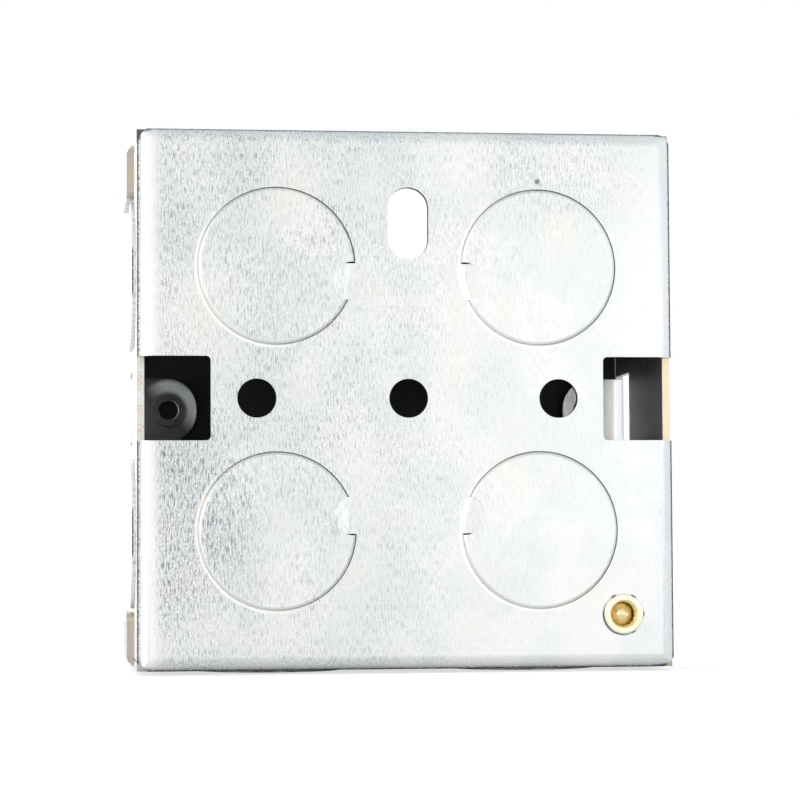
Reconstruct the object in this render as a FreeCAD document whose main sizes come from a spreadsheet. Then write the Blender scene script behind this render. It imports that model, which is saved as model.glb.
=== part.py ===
"""One-gang flush back box in galvanised steel, with its brass earth terminal.

The box stands upright as it sits in a wall. The back plate's outer face is the plane Y = 0, with the
middle fixing hole at the origin. The open front faces -Y and +Z is up. All sizes are in millimetres.

Pieces: the shell, one folded sheet with its lugs, corner tabs and knockouts; the earth terminal's
bush, swaged through the back plate; and the terminal's clamping screw.
"""
import FreeCAD, Part
import Sketcher

import math
import os
import re

# Driving dimensions: name, size and what it measures.
SIZES = (
    ("box_width", 70.8, "outside of the left wall to outside of the right wall"),
    ("box_height", 70.8, "outside of the bottom wall to outside of the top wall"),
    ("box_depth", 35.0, "back plate's outer face to the front rim"),
    ("sheet", 1.0, "thickness of the steel"),
    ("bend_radius", 0.9, "inside radius of the bends round the back plate"),
    ("relief_leg", 1.4, "corner of the blank cut away where two bends meet"),
    ("relief_depth", 2.6, "reach of that cut behind the back plate"),
    ("seam_gap", 0.25, "gap between the end of a side wall and the top or bottom wall"),
    ("tab_length", 18.0, "corner tab, rear edge to front edge"),
    ("tab_setback", 1.0, "corner tab's front edge to the front rim"),
    ("tab_clearance", 0.34, "end of a corner tab to the gap round the side wall's knockout"),
    ("tab_bend_radius", 0.6, "inside radius of a corner tab's bend"),
    ("tab_corner_radius", 1.2, "rounding of a corner tab's free corners"),
    ("fixing_hole_diameter", 5.1, "round screw holes in the back plate"),
    ("fixing_hole_inset", 15.5, "outside of a side wall to the outer fixing hole's centre"),
    ("slot_width", 5.4, "fixing slot, side to side"),
    ("slot_length", 9.5, "fixing slot, end to end"),
    ("slot_inset", 12.4, "outside of the top wall to the slot's middle"),
    ("notch_width", 9.5, "outside of a side wall to the inner edge of its notch"),
    ("notch_height", 11.0, "edge notch, bottom to top"),
    ("notch_depth", 2.6, "reach of an edge notch into the side wall"),
    ("notch_corner_radius", 0.6, "inner corners of an edge notch"),
    ("knockout_diameter", 20.4, "knockout disc"),
    ("knockout_shift", 0.4, "middle of its half of the wall to a knockout's centre, inwards"),
    ("knockout_gap", 0.16, "sheared gap round a knockout disc"),
    ("knockout_proud", 0.5, "height of a knockout disc over its wall"),
    ("knockout_edge_bevel", 0.3, "rolled edge of a back knockout's disc"),
    ("bridge_width", 4.8, "bridge that holds a knockout disc"),
    ("bridge_bite_radius", 2.6, "round bite in the disc above its bridge"),
    ("bridge_shift", 2.0, "bridge's middle from the disc's centre line on the back plate"),
    ("lug_setback", 3.5, "front rim to a lug's rear face"),
    ("lug_width", 9.0, "lug, side to side"),
    ("lug_reach", 9.2, "outside of a side wall to its lug's tip"),
    ("lug_corner_radius", 4.3, "round end of a lug"),
    ("lug_bend_radius", 0.8, "inside radius of a lug's bend"),
    ("lug_slit", 0.5, "lanced slit on each side of a lug"),
    ("lug_hole_inset", 5.25, "outside of a side wall to its accessory screw's centre"),
    ("lug_hole_diameter", 2.9, "bore of the accessory screw thread"),
    ("collar_diameter", 4.7, "extruded collar round the bore"),
    ("collar_height", 0.8, "reach of the collar behind the lug"),
    ("window_length", 7.2, "rear edge of the window left by a lug to the lug's rear face"),
    ("terminal_inset", 7.07, "outside of a side wall to the earth terminal's axis"),
    ("terminal_rise", 7.0, "outside of the bottom wall to the earth terminal's axis"),
    ("hex_hole_corners", 5.46, "hexagonal hole in the back plate, across corners"),
    ("spigot_clearance", 0.03, "round spigot to the flats of the hexagonal hole"),
    ("rim_diameter", 5.2, "swaged rim outside the back plate"),
    ("rim_height", 0.4, "swaged rim over the back plate"),
    ("rim_bevel", 0.2, "rounded corner of the swaged rim"),
    ("crater_diameter", 3.6, "mouth of the swaged rim"),
    ("crater_depth", 0.5, "slope from the mouth to the bore"),
    ("bush_flats", 6.5, "bush, across flats"),
    ("bush_height", 8.6, "bush, from the back plate to its front end"),
    ("bush_chamfer", 0.6, "turned corner at the bush's front end"),
    ("bore_diameter", 3.2, "bush's threaded bore"),
    ("wire_hole_diameter", 3.4, "cross hole for the earth wire"),
    ("wire_hole_rise", 3.0, "back plate's inner face to the cross hole's axis"),
    ("screw_clearance", 0.02, "screw thread to the bore, all round"),
    ("screw_tip_inset", 0.35, "back plate's outer face to the screw's tip"),
    ("screw_tip_diameter", 1.9, "domed end of the screw"),
    ("screw_dome_radius", 1.2, "radius of the domed end's curve"),
    ("screw_tip_taper", 0.9, "length of the taper behind the domed end"),
    ("screw_head_gap", 0.7, "bush's front end to the underside of the head"),
    ("head_diameter", 6.0, "screw head"),
    ("head_height", 2.2, "screw head"),
    ("head_edge_radius", 0.7, "rounding of the screw head, turned as two bevels"),
    ("driver_slot_width", 0.9, "slot in the screw head"),
    ("driver_slot_depth", 1.1, "slot in the screw head"),
)

# The sides of a centre line, and the four quarters round the middle.
SIDES = (1, -1)
QUARTERS = tuple((across, up) for across in SIDES for up in SIDES)

# Lap of a joining piece into the sheet that carries it, as a share of the sheet.
LAP = "sheet / 2"

# Places that several features share, measured from the box's centre line and back plate.
KNOCKOUT_X = "(box_width / 4 - knockout_shift)"
KNOCKOUT_Z = "(box_height / 4 - knockout_shift)"
KNOCKOUT_DEPTH = "(box_depth / 2)"
NOTCH_EDGE = "(box_width / 2 - notch_width)"
TAB_END = f"({KNOCKOUT_Z} + knockout_diameter / 2 + knockout_gap + tab_clearance)"
LUG_DEPTH = "(box_depth - lug_setback)"
LUG_TIP = "(box_width / 2 - lug_reach)"
TERMINAL = ("-(box_width / 2 - terminal_inset)", "-(box_height / 2 - terminal_rise)")

# Longest error of place at which two points count as the same.
SAME = 1e-4

doc = FreeCAD.newDocument("flush_back_box")


def make_sheet():
    """Spreadsheet of the driving dimensions: alias, number and note in each row."""
    sheet = doc.addObject("Spreadsheet::Sheet", "sizes")
    for row, (name, number, note) in enumerate(SIZES, start=1):
        sheet.set(f"A{row}", name)
        sheet.set(f"B{row}", str(number))
        sheet.set(f"C{row}", note)
        sheet.setAlias(f"B{row}", name)
    doc.recompute()
    return sheet


sizes = make_sheet()
ALIASES = {name for name, _, _ in SIZES}


def bound(formula):
    """Formula over the sheet's names, as an expression of the document."""
    return re.sub(r"[a-z_]+", lambda word: f"sizes.{word[0]}" if word[0] in ALIASES else word[0], formula)


def value(formula):
    """Number that a formula gives now."""
    return float(sizes.evalExpression(bound(formula)))


def signed(side, formula):
    """Formula on one side of a centre line."""
    return f"{side} * ({formula})"


def new_body(name):
    """Empty body whose label is the piece's name."""
    body = doc.addObject("PartDesign::Body", name)
    body.Label = name
    return body


def new_sketch(body, name, plane_role, offset="0"):
    """Sketch on one of the body's own origin planes, moved along its normal."""
    sketch = body.newObject("Sketcher::SketchObject", name)
    plane = next(item for item in body.Origin.OriginFeatures if item.Role == plane_role)
    sketch.AttachmentSupport = [(plane, "")]
    sketch.MapMode = "FlatFace"
    sketch.setExpression(".AttachmentOffset.Base.z", bound(offset))
    doc.recompute()
    return sketch


def constrain(sketch, dimensions):
    """Dimensions of a sketch, each a kind, its places and the formula that it is bound to."""
    rules = [Sketcher.Constraint(kind, *places, value(formula)) for kind, places, formula in dimensions]
    for index, (_, _, formula) in zip(sketch.addConstraint(rules), dimensions):
        sketch.setExpression(f"Constraints[{index}]", bound(formula))


def pinned(geometry, end, place):
    """Both distances from the sketch's origin to one point."""
    across, up = place
    return [("DistanceX", (-1, 1, geometry, end), across), ("DistanceY", (-1, 1, geometry, end), up)]


def circle(sketch, centre, radius):
    """Circle with its centre and radius bound to the sheet."""
    middle = FreeCAD.Vector(value(centre[0]), value(centre[1]), 0)
    ring = Part.Circle(middle, FreeCAD.Vector(0, 0, 1), value(radius))
    geometry = sketch.addGeometry(ring, False)
    constrain(sketch, [*pinned(geometry, 3, centre), ("Radius", (geometry,), radius)])


def arc_between(start, end, radius, left_turn):
    """Arc shorter than a half turn from start to end, with its start and end marks."""
    chord = end - start
    rise = math.sqrt(max(radius**2 - (chord.Length / 2) ** 2, 0))
    normal = FreeCAD.Vector(-chord.y, chord.x, 0).normalize()
    centre = start + chord * 0.5 + normal * (rise if left_turn else -rise)
    first, last = (start, end) if left_turn else (end, start)
    angles = [math.atan2(point.y - centre.y, point.x - centre.x) for point in (first, last)]
    ring = Part.Circle(centre, FreeCAD.Vector(0, 0, 1), radius)
    marks = (1, 2) if left_turn else (2, 1)
    return Part.ArcOfCircle(ring, *angles), marks


def outline(sketch, corners):
    """Closed line through the corners, each (across, up) or (across, up, radius, left_turn).

    A corner with a radius starts a round stretch to the next corner.
    """
    points = [FreeCAD.Vector(value(corner[0]), value(corner[1]), 0) for corner in corners]
    stretches = []
    for corner, start, end in zip(corners, points, points[1:] + points[:1]):
        if len(corner) == 2:
            geometry, marks = Part.LineSegment(start, end), (1, 2)
        else:
            geometry, marks = arc_between(start, end, value(corner[2]), corner[3])
        stretches.append((sketch.addGeometry(geometry, False), marks))
    joined = zip(stretches, stretches[1:] + stretches[:1])
    sketch.addConstraint(
        [
            Sketcher.Constraint("Coincident", here, marks[1], following, next_marks[0])
            for (here, marks), (following, next_marks) in joined
        ]
    )
    dimensions = []
    for corner, (geometry, marks) in zip(corners, stretches):
        dimensions += pinned(geometry, marks[0], corner[:2])
        if len(corner) > 2:
            dimensions.append(("Radius", (geometry,), corner[2]))
    constrain(sketch, dimensions)


def rectangle(sketch, left, right, bottom, top):
    """Upright rectangle between two pairs of formulas."""
    outline(sketch, [(left, bottom), (right, bottom), (right, top), (left, top)])


def extrude(body, kind, name, sketch, length, reverse=False, both_ways=False):
    """Pad or Pocket of a sketch, by a length bound to the sheet."""
    before = body.Tip.Shape.Volume if body.Tip else 0.0
    feature = body.newObject(f"PartDesign::{kind}", name)
    feature.Profile = sketch
    feature.setExpression("Length", bound(length))
    feature.Reversed = reverse
    if both_ways:
        feature.SideType = "Symmetric"
    doc.recompute()
    changed = feature.Shape.Volume - before
    if (changed > 0) != (kind == "Pad"):
        raise RuntimeError(f"{name} changed the volume by {changed:.3f}")
    return feature


def edges_where(shape, test):
    """Names of the edges that pass a test."""
    return [f"Edge{index}" for index, edge in enumerate(shape.Edges, start=1) if test(edge)]


def dress(body, kind, name, test, size):
    """Fillet or Chamfer of every edge that passes a test."""
    base = body.Tip
    feature = body.newObject(f"PartDesign::{kind}", name)
    feature.Base = (base, edges_where(base.Shape, test))
    feature.setExpression("Radius" if kind == "Fillet" else "Size", bound(size))
    doc.recompute()


def runs_along(edge, axis):
    """Whether an edge is straight and parallel to an axis."""
    if not isinstance(edge.Curve, Part.Line):
        return False
    return abs(abs(edge.Curve.Direction.dot(axis)) - 1) < SAME


def near(first, second):
    """Whether two numbers are the same place."""
    return abs(first - second) < SAME


X_AXIS = FreeCAD.Vector(1, 0, 0)
Y_AXIS = FreeCAD.Vector(0, 1, 0)


def fold_shell(body):
    """Back plate and four walls, with the bends between them."""
    block = new_sketch(body, "block_outline", "XZ_Plane")
    rectangle(block, "-box_width / 2", "box_width / 2", "-box_height / 2", "box_height / 2")
    extrude(body, "Pad", "block", block, "box_depth")
    dress(
        body,
        "Fillet",
        "outer_bends",
        lambda edge: all(near(vertex.Y, 0) for vertex in edge.Vertexes),
        "bend_radius + sheet",
    )
    inside = new_sketch(body, "inside_outline", "XZ_Plane", "box_depth")
    half_width, half_height = "box_width / 2 - sheet", "box_height / 2 - sheet"
    rectangle(inside, f"-({half_width})", half_width, f"-({half_height})", half_height)
    extrude(body, "Pocket", "inside", inside, "box_depth - sheet")
    floor = -value("sheet")
    dress(
        body,
        "Fillet",
        "inner_bends",
        lambda edge: len(edge.Vertexes) == 2 and all(near(vertex.Y, floor) for vertex in edge.Vertexes),
        "bend_radius",
    )


def cut_corner_seams(body):
    """Relief where two bends meet, and the seam between each pair of walls."""
    relief = new_sketch(body, "relief_outline", "XZ_Plane")
    seam = new_sketch(body, "seam_outline", "XZ_Plane", "box_depth")
    for across, up in QUARTERS:
        edge_x, edge_z = signed(across, "box_width / 2"), signed(up, "box_height / 2")
        outline(
            relief,
            [
                (edge_x, edge_z),
                (signed(across, "box_width / 2 - relief_leg"), edge_z),
                (edge_x, signed(up, "box_height / 2 - relief_leg")),
            ],
        )
        rectangle(
            seam,
            signed(across, "box_width / 2 - sheet"),
            signed(across, "box_width / 2"),
            signed(up, "box_height / 2 - sheet - seam_gap"),
            signed(up, "box_height / 2 - sheet"),
        )
    extrude(body, "Pocket", "corner_reliefs", relief, "relief_depth", reverse=True)
    extrude(body, "Pocket", "corner_seams", seam, "box_depth - bend_radius - sheet")


def wrap_corner_tabs(body):
    """Tabs of the top and bottom walls, bent round the corners and welded to the side walls."""
    tab_start = "box_depth - tab_setback - tab_length"
    sketch = new_sketch(body, "tab_outline", "XZ_Plane", tab_start)
    bend = "tab_bend_radius + sheet"
    for across, up in QUARTERS:
        wall = signed(across, "box_width / 2")
        inside = signed(across, "box_width / 2 - sheet")
        outside = signed(across, "box_width / 2 + sheet")
        top = signed(up, "box_height / 2")
        end = signed(up, TAB_END)
        under = signed(up, "box_height / 2 - sheet")
        outline(
            sketch,
            [
                (inside, top),
                (signed(across, f"box_width / 2 + sheet - ({bend})"), top, bend, across * up < 0),
                (outside, signed(up, f"box_height / 2 - ({bend})")),
                (outside, end),
                (wall, end),
                (wall, under),
                (inside, under),
            ],
        )
    extrude(body, "Pad", "corner_tabs", sketch, "tab_length")
    level = value(TAB_END)
    outside = value("box_width / 2")
    dress(
        body,
        "Fillet",
        "tab_corners",
        lambda edge: runs_along(edge, X_AXIS)
        and near(abs(edge.CenterOfMass.z), level)
        and abs(edge.CenterOfMass.x) > outside,
        "tab_corner_radius",
    )


def cut_edge_notches(body):
    """Square notches in the left and right edges of the back plate, down into the side walls."""
    sketch = new_sketch(body, "notch_outline", "XZ_Plane")
    for side in SIDES:
        rectangle(
            sketch,
            signed(side, NOTCH_EDGE),
            signed(side, "box_width / 2 + sheet"),
            "-notch_height / 2",
            "notch_height / 2",
        )
    extrude(body, "Pocket", "edge_notches", sketch, "notch_depth", reverse=True)
    inner_edge = value(NOTCH_EDGE)
    dress(
        body,
        "Fillet",
        "notch_corners",
        lambda edge: runs_along(edge, Y_AXIS)
        and near(abs(edge.CenterOfMass.x), inner_edge)
        and near(abs(edge.CenterOfMass.z), value("notch_height / 2")),
        "notch_corner_radius",
    )


def pierce_back_plate(body):
    """Three fixing holes, the fixing slot and the earth terminal's hexagonal hole."""
    sketch = new_sketch(body, "hole_outlines", "XZ_Plane")
    pitch = "(box_width / 2 - fixing_hole_inset)"
    for place in (f"-{pitch}", "0", pitch):
        circle(sketch, (place, "0"), "fixing_hole_diameter / 2")
    middle = "(box_height / 2 - slot_inset)"
    end_rise = "(slot_length - slot_width) / 2"
    low, high = f"{middle} - {end_rise}", f"{middle} + {end_rise}"
    outline(
        sketch,
        [
            ("slot_width / 2", low),
            ("slot_width / 2", high, "slot_width / 2", True),
            ("0", f"{middle} + slot_length / 2", "slot_width / 2", True),
            ("-slot_width / 2", high),
            ("-slot_width / 2", low, "slot_width / 2", True),
            ("0", f"{middle} - slot_length / 2", "slot_width / 2", True),
        ],
    )
    hexagon(sketch, TERMINAL, "hex_hole_corners / 2")
    extrude(body, "Pocket", "back_holes", sketch, "sheet", reverse=True)


def hexagon(sketch, centre, corner_radius):
    """Hexagon with a corner to the left and to the right."""
    across, up = centre
    rise = f"({corner_radius}) * sin(60)"
    half = f"({corner_radius}) / 2"
    outline(
        sketch,
        [
            (f"{across} + {corner_radius}", up),
            (f"{across} + {half}", f"{up} + {rise}"),
            (f"{across} - {half}", f"{up} + {rise}"),
            (f"{across} - {corner_radius}", up),
            (f"{across} - {half}", f"{up} - {rise}"),
            (f"{across} + {half}", f"{up} - {rise}"),
        ],
    )


def lance_lugs(body):
    """Windows cut in the side walls, and the lugs bent inwards from their front edges."""
    root = f"{LUG_DEPTH} + lug_bend_radius + sheet"
    window = new_sketch(body, "window_outline", "YZ_Plane")
    half_window = "lug_width / 2 + lug_slit"
    rear = f"-({LUG_DEPTH} - window_length)"
    rectangle(window, f"-({root})", rear, f"-({half_window})", half_window)
    extrude(body, "Pocket", "lug_windows", window, "box_width + 2 * sheet", both_ways=True)
    lug = new_sketch(body, "lug_profile", "XY_Plane")
    for side in SIDES:
        wall, inside = signed(side, "box_width / 2"), signed(side, "box_width / 2 - sheet")
        bend_start = signed(side, "box_width / 2 - sheet - lug_bend_radius")
        tip = signed(side, LUG_TIP)
        outline(
            lug,
            [
                (wall, f"-({root}) - {LAP}"),
                (wall, f"-({root})", "lug_bend_radius + sheet", side > 0),
                (bend_start, f"-{LUG_DEPTH}"),
                (tip, f"-{LUG_DEPTH}"),
                (tip, f"-{LUG_DEPTH} - sheet"),
                (bend_start, f"-{LUG_DEPTH} - sheet", "lug_bend_radius", side < 0),
                (inside, f"-({root})"),
                (inside, f"-({root}) - {LAP}"),
            ],
        )
    extrude(body, "Pad", "lugs", lug, "lug_width", both_ways=True)
    collar = new_sketch(body, "collar_outline", "XZ_Plane", LUG_DEPTH)
    bore = new_sketch(body, "lug_bore_outline", "XZ_Plane", f"{LUG_DEPTH} + sheet")
    for side in SIDES:
        place = (signed(side, "box_width / 2 - lug_hole_inset"), "0")
        circle(collar, place, "collar_diameter / 2")
        circle(bore, place, "lug_hole_diameter / 2")
    extrude(body, "Pad", "lug_collars", collar, "collar_height", reverse=True)
    extrude(body, "Pocket", "lug_bores", bore, "sheet + collar_height")
    tip = value(LUG_TIP)
    dress(
        body,
        "Fillet",
        "lug_ends",
        lambda edge: runs_along(edge, Y_AXIS)
        and near(abs(edge.CenterOfMass.x), tip)
        and near(abs(edge.CenterOfMass.z), value("lug_width / 2")),
        "lug_corner_radius",
    )


def ramp(sketch, along, rim, outward, face):
    """Section of a bridge, from the wall up to its knockout disc.

    along is the sketch axis that runs from the disc's centre to its rim, rim the formula of the rim's
    place on it with the side that it faces, and face the wall's outer face on the other axis.
    """
    place, away = rim
    start = f"({place}) + {away} * (knockout_gap + {LAP})"
    end = f"({place}) - {away} * bridge_bite_radius"
    flat = f"{outward} * ({face})"
    raised = f"{outward} * ({face} + knockout_proud)"
    corners = [
        (start, flat),
        (place, flat),
        (end, raised),
        (end, f"{raised} - {outward} * sheet"),
        (place, f"{flat} - {outward} * sheet"),
        (start, f"{flat} - {outward} * sheet"),
    ]
    outline(sketch, corners if along == "across" else [(second, first) for first, second in corners])


def bitten_disc(sketch, centre, bite_turn):
    """Knockout disc with a round bite over its bridge.

    bite_turn holds the sine and cosine, as formulas, of the direction from the disc's centre to the
    bridge.
    """
    radius, bite = "(knockout_diameter / 2)", "bridge_bite_radius"
    sine, cosine = bite_turn
    swing = f"({bite}^2 / (2 * {radius}))"
    half_chord = f"sqrt({bite}^2 - {swing}^2)"
    ends = [
        (
            f"{centre[0]} + ({radius} - {swing}) * {cosine} - {side} * {half_chord} * {sine}",
            f"{centre[1]} + ({radius} - {swing}) * {sine} + {side} * {half_chord} * {cosine}",
        )
        for side in SIDES
    ]
    far = (f"{centre[0]} - {radius} * {cosine}", f"{centre[1]} - {radius} * {sine}")
    outline(
        sketch,
        [
            (*ends[0], radius, True),
            (*far, radius, True),
            (*ends[1], bite, False),
        ],
    )


def roll_disc_edges(body):
    """Rolled edge on the outer face of each knockout disc of the back plate, as a narrow bevel."""
    radius, level = value("knockout_diameter / 2"), value("knockout_proud")
    dress(
        body,
        "Chamfer",
        "disc_edges",
        lambda edge: isinstance(edge.Curve, Part.Circle)
        and near(edge.Curve.Radius, radius)
        and near(edge.Curve.Center.y, level),
        "knockout_edge_bevel",
    )


def add_back_knockouts(body):
    """Four knockouts in the back plate, each held by a bridge on its inner side."""
    hole = new_sketch(body, "back_knockout_holes", "XZ_Plane")
    for across, up in QUARTERS:
        centre = (signed(across, KNOCKOUT_X), signed(up, KNOCKOUT_Z))
        circle(hole, centre, "knockout_diameter / 2 + knockout_gap")
    extrude(body, "Pocket", "back_knockout_gaps", hole, "sheet", reverse=True)
    sine = "(bridge_shift / (knockout_diameter / 2))"
    cosine = f"sqrt(1 - {sine}^2)"
    rim = f"{KNOCKOUT_X} - (knockout_diameter / 2) * {cosine}"
    for up in SIDES:
        name = "upper" if up > 0 else "lower"
        level = signed(up, f"{KNOCKOUT_Z} - bridge_shift")
        bridge = new_sketch(body, f"{name}_back_bridge_profile", "XY_Plane", level)
        for across in SIDES:
            ramp(bridge, "across", (signed(across, rim), -across), 1, "0")
        extrude(body, "Pad", f"{name}_back_bridges", bridge, "bridge_width", both_ways=True)
    disc = new_sketch(body, "back_knockout_outlines", "XZ_Plane", "-knockout_proud")
    for across, up in QUARTERS:
        centre = (signed(across, KNOCKOUT_X), signed(up, KNOCKOUT_Z))
        bitten_disc(disc, centre, (signed(-up, sine), signed(-across, cosine)))
    extrude(body, "Pad", "back_knockouts", disc, "sheet")


def add_wall_knockouts(body, name, plane_role, half_size, along, bridge_axis):
    """Two knockouts in each of two facing walls, held by bridges towards the walls' middle."""
    upright = plane_role == "YZ_Plane"

    def place(side):
        pair = (signed(side, along), f"-{KNOCKOUT_DEPTH}")
        return pair[::-1] if upright else pair

    hole = new_sketch(body, f"{name}_knockout_holes", plane_role)
    bridge = new_sketch(body, f"{name}_bridge_profile", "XZ_Plane", KNOCKOUT_DEPTH)
    for side in SIDES:
        circle(hole, place(side), "knockout_diameter / 2 + knockout_gap")
        rim = signed(side, f"{along} - knockout_diameter / 2")
        for outward in SIDES:
            ramp(bridge, bridge_axis, (rim, -side), outward, half_size)
    span = f"2 * ({half_size} + sheet)"
    extrude(body, "Pocket", f"{name}_knockout_gaps", hole, span, both_ways=True)
    extrude(body, "Pad", f"{name}_bridges", bridge, "bridge_width", both_ways=True)
    for outward in SIDES:
        level = signed(outward, f"{half_size} + knockout_proud")
        label = f"{name}_{'plus' if outward > 0 else 'minus'}"
        disc = new_sketch(body, f"{label}_knockout_outlines", plane_role, level)
        for side in SIDES:
            turn = (str(-side), "0") if upright else ("0", str(-side))
            bitten_disc(disc, place(side), turn)
        extrude(body, "Pad", f"{label}_knockouts", disc, "sheet", reverse=outward > 0)


def make_box_shell():
    """The folded sheet: walls, seams, tabs, notches, holes, lugs and knockouts."""
    body = new_body("box_shell")
    fold_shell(body)
    cut_corner_seams(body)
    wrap_corner_tabs(body)
    cut_edge_notches(body)
    pierce_back_plate(body)
    lance_lugs(body)
    add_back_knockouts(body)
    add_wall_knockouts(body, "side", "YZ_Plane", "box_width / 2", KNOCKOUT_Z, "up")
    add_wall_knockouts(body, "end", "XY_Plane", "box_height / 2", KNOCKOUT_X, "across")
    roll_disc_edges(body)
    return body


def revolve(body, name, sketch, kind="Revolution"):
    """Full turn of a profile about the piece's own Y axis."""
    feature = body.newObject(f"PartDesign::{kind}", name)
    feature.Profile = sketch
    feature.ReferenceAxis = (sketch, ["V_Axis"])
    doc.recompute()
    return feature


def place_on_terminal(body):
    """Carry a piece from its own axis to the earth terminal's place."""
    body.setExpression(".Placement.Base.x", bound(TERMINAL[0]))
    body.setExpression(".Placement.Base.z", bound(TERMINAL[1]))
    doc.recompute()


def make_terminal_bush():
    """Hexagonal brass bush, swaged through the back plate, with a bore and a cross hole."""
    body = new_body("earth_terminal_bush")
    front = "-(sheet + bush_height)"
    hex_sketch = new_sketch(body, "hex_outline", "XZ_Plane", "sheet")
    hexagon(hex_sketch, ("0", "0"), "bush_flats / 2 / cos(30)")
    extrude(body, "Pad", "hex_body", hex_sketch, "bush_height")
    spigot = "(hex_hole_corners / 2 * cos(30) - spigot_clearance)"
    turned = new_sketch(body, "spigot_profile", "XY_Plane")
    outline(
        turned,
        [
            ("bore_diameter / 2", "rim_height - crater_depth"),
            ("bore_diameter / 2", f"-sheet - {LAP}"),
            (spigot, f"-sheet - {LAP}"),
            (spigot, "0"),
            ("rim_diameter / 2", "0"),
            ("rim_diameter / 2", "rim_height - rim_bevel"),
            ("rim_diameter / 2 - rim_bevel", "rim_height"),
            ("crater_diameter / 2", "rim_height"),
        ],
    )
    revolve(body, "swaged_spigot", turned)
    corner = "bush_flats / 2 / cos(30)"
    chamfer = new_sketch(body, "chamfer_profile", "XY_Plane")
    outline(
        chamfer,
        [
            (f"{corner} + sheet", front),
            (f"{corner} - bush_chamfer", front),
            (f"{corner} + sheet", f"{front} + (bush_chamfer + sheet) * tan(30)"),
        ],
    )
    revolve(body, "turned_corner", chamfer, kind="Groove")
    bore = new_sketch(body, "bore_outline", "XZ_Plane", "sheet + bush_height")
    circle(bore, ("0", "0"), "bore_diameter / 2")
    extrude(body, "Pocket", "threaded_bore", bore, "sheet + bush_height")
    cross = new_sketch(body, "cross_hole_outline", "XY_Plane")
    circle(cross, ("0", "-(sheet + wire_hole_rise)"), "wire_hole_diameter / 2")
    extrude(body, "Pocket", "wire_hole", cross, "2 * bush_flats", both_ways=True)
    place_on_terminal(body)
    return body


def make_terminal_screw():
    """Brass screw with a round head, a driver slot and a domed end."""
    body = new_body("earth_terminal_screw")
    shank = "(bore_diameter / 2 - screw_clearance)"
    underside = "-(sheet + bush_height + screw_head_gap)"
    tip, dome = "screw_tip_diameter / 2", "screw_dome_radius"
    dome_end = f"-screw_tip_inset - {dome} + sqrt({dome}^2 - ({tip})^2)"
    top = f"{underside} - head_height"
    turn = "head_edge_radius * (1 - sin(45))"
    profile = new_sketch(body, "screw_profile", "XY_Plane")
    outline(
        profile,
        [
            ("0", top),
            ("head_diameter / 2 - head_edge_radius", top),
            (f"head_diameter / 2 - {turn}", f"{top} + {turn}"),
            ("head_diameter / 2", f"{top} + head_edge_radius"),
            ("head_diameter / 2", underside),
            (shank, underside),
            (shank, f"{dome_end} - screw_tip_taper"),
            (tip, dome_end, dome, True),
            ("0", "-screw_tip_inset"),
        ],
    )
    revolve(body, "turned_screw", profile)
    slot = new_sketch(body, "driver_slot_outline", "XZ_Plane", f"-({top})")
    rectangle(slot, "-head_diameter", "head_diameter", "-driver_slot_width / 2", "driver_slot_width / 2")
    extrude(body, "Pocket", "driver_slot", slot, "driver_slot_depth")
    place_on_terminal(body)
    return body


def check_document(pieces):
    """Stop before writing if any object or piece of the document is unsound."""
    doc.recompute()
    failed = [item.Name for item in doc.Objects if {"Invalid", "Error"} & set(item.State)]
    if failed:
        raise RuntimeError(f"failed objects: {failed}")
    for piece in pieces:
        shape = piece.Shape
        if shape.isNull() or not shape.isValid() or len(shape.Solids) != 1:
            raise RuntimeError(f"{piece.Label} isn't one sound solid")


def write_pieces(pieces):
    """One STEP file for each piece, named by its label."""
    os.makedirs("parts", exist_ok=True)
    for piece in pieces:
        piece.Shape.exportStep(f"parts/{piece.Label}.step")
        box = piece.Shape.BoundBox
        print(
            f"{piece.Label}: {piece.Shape.Volume:.1f} mm3,",
            f"X {box.XMin:.2f} to {box.XMax:.2f}, Y {box.YMin:.2f} to {box.YMax:.2f},",
            f"Z {box.ZMin:.2f} to {box.ZMax:.2f}",
        )


all_pieces = [make_box_shell(), make_terminal_bush(), make_terminal_screw()]
check_document(all_pieces)
write_pieces(all_pieces)
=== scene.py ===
"""Looks of the flush back box: its galvanised sheet, brass earth terminal, camera, light and ground.

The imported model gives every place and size. Lengths that this file adds are in millimetres, and MM turns
them into the scene's metres. The box stands as it sits in a wall, and the camera looks at its back plate.
"""
import logging
import math
from dataclasses import dataclass
from enum import Enum
from typing import Any, Optional, Sequence, Union

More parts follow.
